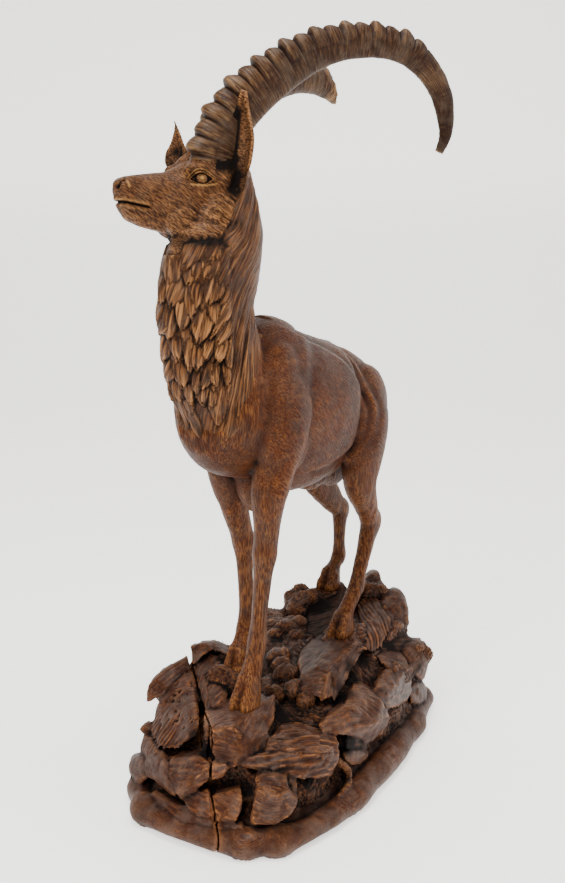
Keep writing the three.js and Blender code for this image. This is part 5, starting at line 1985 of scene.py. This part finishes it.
@dataclass
class RockyBase:
    """The rock pile: its core, its stones and the roll moulding, joined and then carved."""

    grain: float = 1.55
    core_grain: float = 3.0
    sunk: float = 6.0
    roll_top: float = 24.0
    foot: float = 1.2
    roll: Roll = field(default_factory=Roll)
    crack: Crack = field(default_factory=Crack)

    def build(self) -> Piece:
        """Makes the piece and dresses it."""
        solid = form_of(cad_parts["rocky_base"].data)
        solid.transform(Matrix.Scale(1 / MM, 4))
        bmesh.ops.remove_doubles(solid, verts=solid.verts, dist=1e-3)
        side = EvenedSide(BVHTree.FromBMesh(solid))
        forms = [stone.form(side) for stone in STONES.values()]
        forms.append(self._core(solid))
        forms += self.roll.forms() + [ball(at, reach) for at, reach in LUMPS]
        forms.append(swept([(*place, r, r, r) for *place, r in TWIG], 12, 40, side=(0, 1, 0)))
        heap = bmesh.new()
        scratch = bpy.data.meshes.new("scratch")
        owners: list[int] = []
        for index, form in enumerate(forms):
            form.to_mesh(scratch)
            heap.from_mesh(scratch)
            owners += [index] * (len(heap.faces) - len(owners))
        bpy.data.meshes.remove(scratch)
        heap.faces.ensure_lookup_table()
        facing = np.array([f.normal for f in heap.faces])
        facets = BVHTree.FromBMesh(heap)
        heap.free()
        skin = Skin(fused(forms, self.grain))
        skin.smooth(2)
        cracked = self.crack.open(skin)
        nearest = np.array([facets.find_nearest(Vector(place))[2] for place in skin.co])
        owner = np.array(owners)[nearest]
        height, tone, strand = self._stones(skin.co, owner, facing[nearest], side)
        self._rest(skin.co, owner >= len(STONES), height, tone, strand)
        skin.push(height * ease(0.5, 5, skin.co[:, 2]) * (1 - cracked))
        skin.co[:, 2] = np.where(skin.co[:, 2] < self.foot, 0, skin.co[:, 2])
        skin.mark_relief(0.4, 2.0)
        dark = np.zeros(len(skin.co))
        # Painted shade: painted shadows in the deep corners, the crack darkened, and negative tone added,
        # which on the core is painted shade between the stones.
        for middle, radius in PAINTED_SHADOWS:
            dark = np.maximum(dark, 1 - ease(0.35, 1.15, from_oval(skin.co, middle, (radius,) * 3)))
        cut = skin.marks["cut"] + 0.8 * dark + np.clip(-tone, 0, 1)
        skin.mark("cut", np.clip(np.maximum(cut, 1.3 * cracked), 0, 1))
        skin.mark("strand", strand)
        patch = 0.45 * np.clip(tone, 0, 1) + 0.15 * ease(0.3, 0.9, noise(skin.co, 26, 81))
        skin.mark("patch", np.clip(patch, 0, 1))
        return skin.finished("rocky_base_carving", BASE_FINISH, "rocky_base")

    def _core(self, solid: Form) -> Form:
        """The heart of the pile, sunk behind the stones that stand in front of it."""
        skin = Skin(fused([solid], self.core_grain))
        skin.smooth(2)
        front = ease(-20, 30, skin.co @ np.array(FRONT))
        floor = skin.co[:, 2] < 3
        skin.push(-self.sunk * front * (0.35 + 0.65 * ease(4, 20, skin.co[:, 2])))
        skin.co[:, 2] = np.where(floor, 0, skin.co[:, 2])
        skin.write()
        return form_of(skin.mesh)

    @staticmethod
    def _gouges(place: Array, seed: int) -> tuple[Array, Array]:
        """Side-by-side gouge cuts: how deep each place lies in its cut, and how strong that cut is."""
        cut = np.floor(place)
        return 1 - (2 * (place - cut) - 1) ** 2, chance(columns(cut, 0, 0), seed)

    def _stones(
        self, co: Array, owner: Array, facing: Array, side: EvenedSide
    ) -> tuple[Array, Array, Array]:
        """Cuts each stone in its own way.

        Args:
            co: Places on the base.
            owner: Which form each place belongs to.
            facing: The plain direction of the face that each place belongs to.
            side: The base's evened side.

        Returns:
            Heights to push by, the tone of each place, and its strand place.
        """
        height, tone, strand = np.zeros(len(co)), np.zeros(len(co)), np.zeros((len(co), 3))
        for index, stone in enumerate(STONES.values()):
            mine = owner == index
            place = co[mine]
            stroke = stone.way(side)
            across = unit(np.cross(facing[mine], stroke))
            u, v = np.einsum("ij,ij->i", place, across), place @ stroke
            if stone.cut is Cut.FAN:
                out = place - np.array(FAN_AT)
                u = np.linalg.norm(out - np.outer(out @ np.array(INWARD), INWARD), axis=1)
                v = np.arctan2(out[:, 0], out[:, 1]) * 25
            depth, pitch = stone.groove
            hollow, strength = self._gouges((u + 1.5 * noise(place, 15, index)) / pitch, index)
            gouge = -depth * (0.45 + 0.75 * strength) * hollow
            if stone.cut is Cut.ROUND:
                gouge = 0.5 * gouge
            rough = 0.45 * noise(place, 6, index + 100) + 0.7 * noise(place, 16, index + 200)
            if stone.cut is Cut.HOLED:
                upper = ease(66, 78, place[:, 2])
                rough -= 2.4 * ease(0.5, 0.75, noise(place, 3.6, 301)) * upper
                gouge *= 1.6 * (1 - upper)
            height[mine] = gouge + rough
            tone[mine] = stone.tone
            strand[mine] = columns(u, v, index * 9.0)
        return height, tone, strand

    def _rest(self, co: Array, rest: Array, height: Array, tone: Array, strand: Array) -> None:
        """Chisels the core and the lumps in short strokes and leaves the roll nearly smooth."""
        place = co[rest]
        turned = noise(place, 30, 303) * 3
        c, s = np.cos(turned), np.sin(turned)
        u = place[:, 0] * c + place[:, 1] * s
        strand[rest] = columns(u, place[:, 2] + place[:, 1] * c - place[:, 0] * s, place[:, 2])
        rolled = rest & (co[:, 2] < self.roll_top)
        inner = rest & ~rolled
        place = co[inner]
        hollow, strength = self._gouges(u[inner[rest]] / 5.2 + 0.8 * noise(place, 11, 305), 309)
        height[inner] = 1.0 - 1.5 * (0.4 + 0.8 * strength) * hollow + 1.1 * noise(place, 13, 306)
        height[inner] += 0.5 * noise(place, 5, 310)
        # Painted shade: the core darkens towards the front, where it shows between the stones.
        tone[inner] = -0.28 * ease(-10, 40, place @ np.array(FRONT))
        height[rolled] = 0.5 * noise(co[rolled], 9, 307) + 0.25 * noise(co[rolled], 4, 308)


# The setting


@dataclass
class Studio:
    """The pale floor, the soft lights and the camera, in metres."""

    sensor: float = 36.0
    half_breadth: float = 5.0
    near_edge: float = -1.6
    far_edge: float = 4.6
    bend_at: float = 1.5
    bend: float = 1.2
    daylight: Colour = (1.0, 0.985, 0.96, 1)
    paint: Colour = (0.93, 0.915, 0.89, 1)
    glow: float = 1.1
    sky: float = 0.3

    def build(self) -> None:
        """Sets up the floor, the lights and the camera."""
        self.right, self.up, self.back = (Vector(axis) for axis in SIGHT.axes())
        self._floor()
        self._lights()
        self._camera()

    def _floor(self) -> None:
        """A pale sheet that runs back and then up behind the object."""
        form = bmesh.new()
        bmesh.ops.create_grid(form, x_segments=2, y_segments=60, size=1)
        level = Vector((self.back.x, self.back.y, 0)).normalized()
        for vert in form.verts:
            reach = self.near_edge + (vert.co.y + 1) / 2 * (self.far_edge - self.near_edge)
            beyond = max(reach - self.bend_at, 0)
            bent = min(beyond, self.bend)
            rise = bent**2 / (2 * self.bend) + beyond - bent
            out = min(reach, self.bend_at) + bent - bent**2 / (4 * self.bend)
            vert.co = self.right * vert.co.x * self.half_breadth - level * out + Vector((0, 0, rise))
        mesh = bpy.data.meshes.new("floor")
        form.to_mesh(mesh)
        form.free()
        mesh.polygons.foreach_set("use_smooth", [True] * len(mesh.polygons))
        floor = bpy.data.objects.new("floor", mesh)
        bpy.context.scene.collection.objects.link(floor)
        paint = bpy.data.materials.new("pale_floor")
        paint.use_nodes = True
        for socket, value in (
            ("Base Color", self.paint), ("Roughness", 0.7), ("Emission Color", self.daylight),
            ("Emission Strength", self.glow),
        ):
            paint.node_tree.nodes["Principled BSDF"].inputs[socket].default_value = value
        mesh.materials.append(paint)

    def _lights(self) -> None:
        """A broad light above, one from the front left, a weak one from the right, and a pale sky."""
        aim = Vector((0, -0.02, 0.33))
        for name, at, size, power in (
            ("overhead", Vector((0.1, -0.3, 1.9)), 1.3, 40),
            ("front", self.right * -0.9 + self.back * 1.6 + Vector((0, 0, 1.3)), 1.0, 40),
            ("right", self.right * 1.6 + self.back * 0.3 + Vector((0, 0, 1.0)), 0.9, 14),
        ):
            lamp = bpy.data.lights.new(name, "AREA")
            lamp.shape = "DISK"
            lamp.size = size
            lamp.energy = power
            holder = bpy.data.objects.new(name, lamp)
            holder.location = at
            holder.rotation_euler = (aim - at).to_track_quat("-Z", "Y").to_euler()
            bpy.context.scene.collection.objects.link(holder)
        world = bpy.data.worlds.new("pale")
        world.use_nodes = True
        world.node_tree.nodes["Background"].inputs["Color"].default_value = self.daylight
        world.node_tree.nodes["Background"].inputs["Strength"].default_value = self.sky
        bpy.context.scene.world = world

    def _camera(self) -> None:
        """The camera, as far away and as turned as the photo's."""
        lens = bpy.data.cameras.new("camera")
        lens.sensor_width = self.sensor
        lens.lens = self.sensor * SIGHT.focal / SIGHT.height
        lens.clip_start = 0.05
        holder = bpy.data.objects.new("camera", lens)
        turn = Matrix((self.right, self.up, self.back)).transposed().to_4x4()
        holder.matrix_world = Matrix.Translation(Vector(SIGHT.place) * MM) @ turn
        bpy.context.scene.collection.objects.link(holder)
        bpy.context.scene.camera = holder


def main() -> None:
    """Builds every piece and the setting."""
    Studio().build()
    head = Head()
    body = Body()
    skin, surface = body.carve()
    HeadAndMane(head).build(surface)
    body.build(skin)
    Horn(Side.LEFT).build(head)
    Horn(Side.RIGHT, splay=0.0, pitched=7.5, set_back=10, slim=0.86, broken_at=0.64).build(head)
    RockyBase().build()


if __name__ == "__main__":
    main()
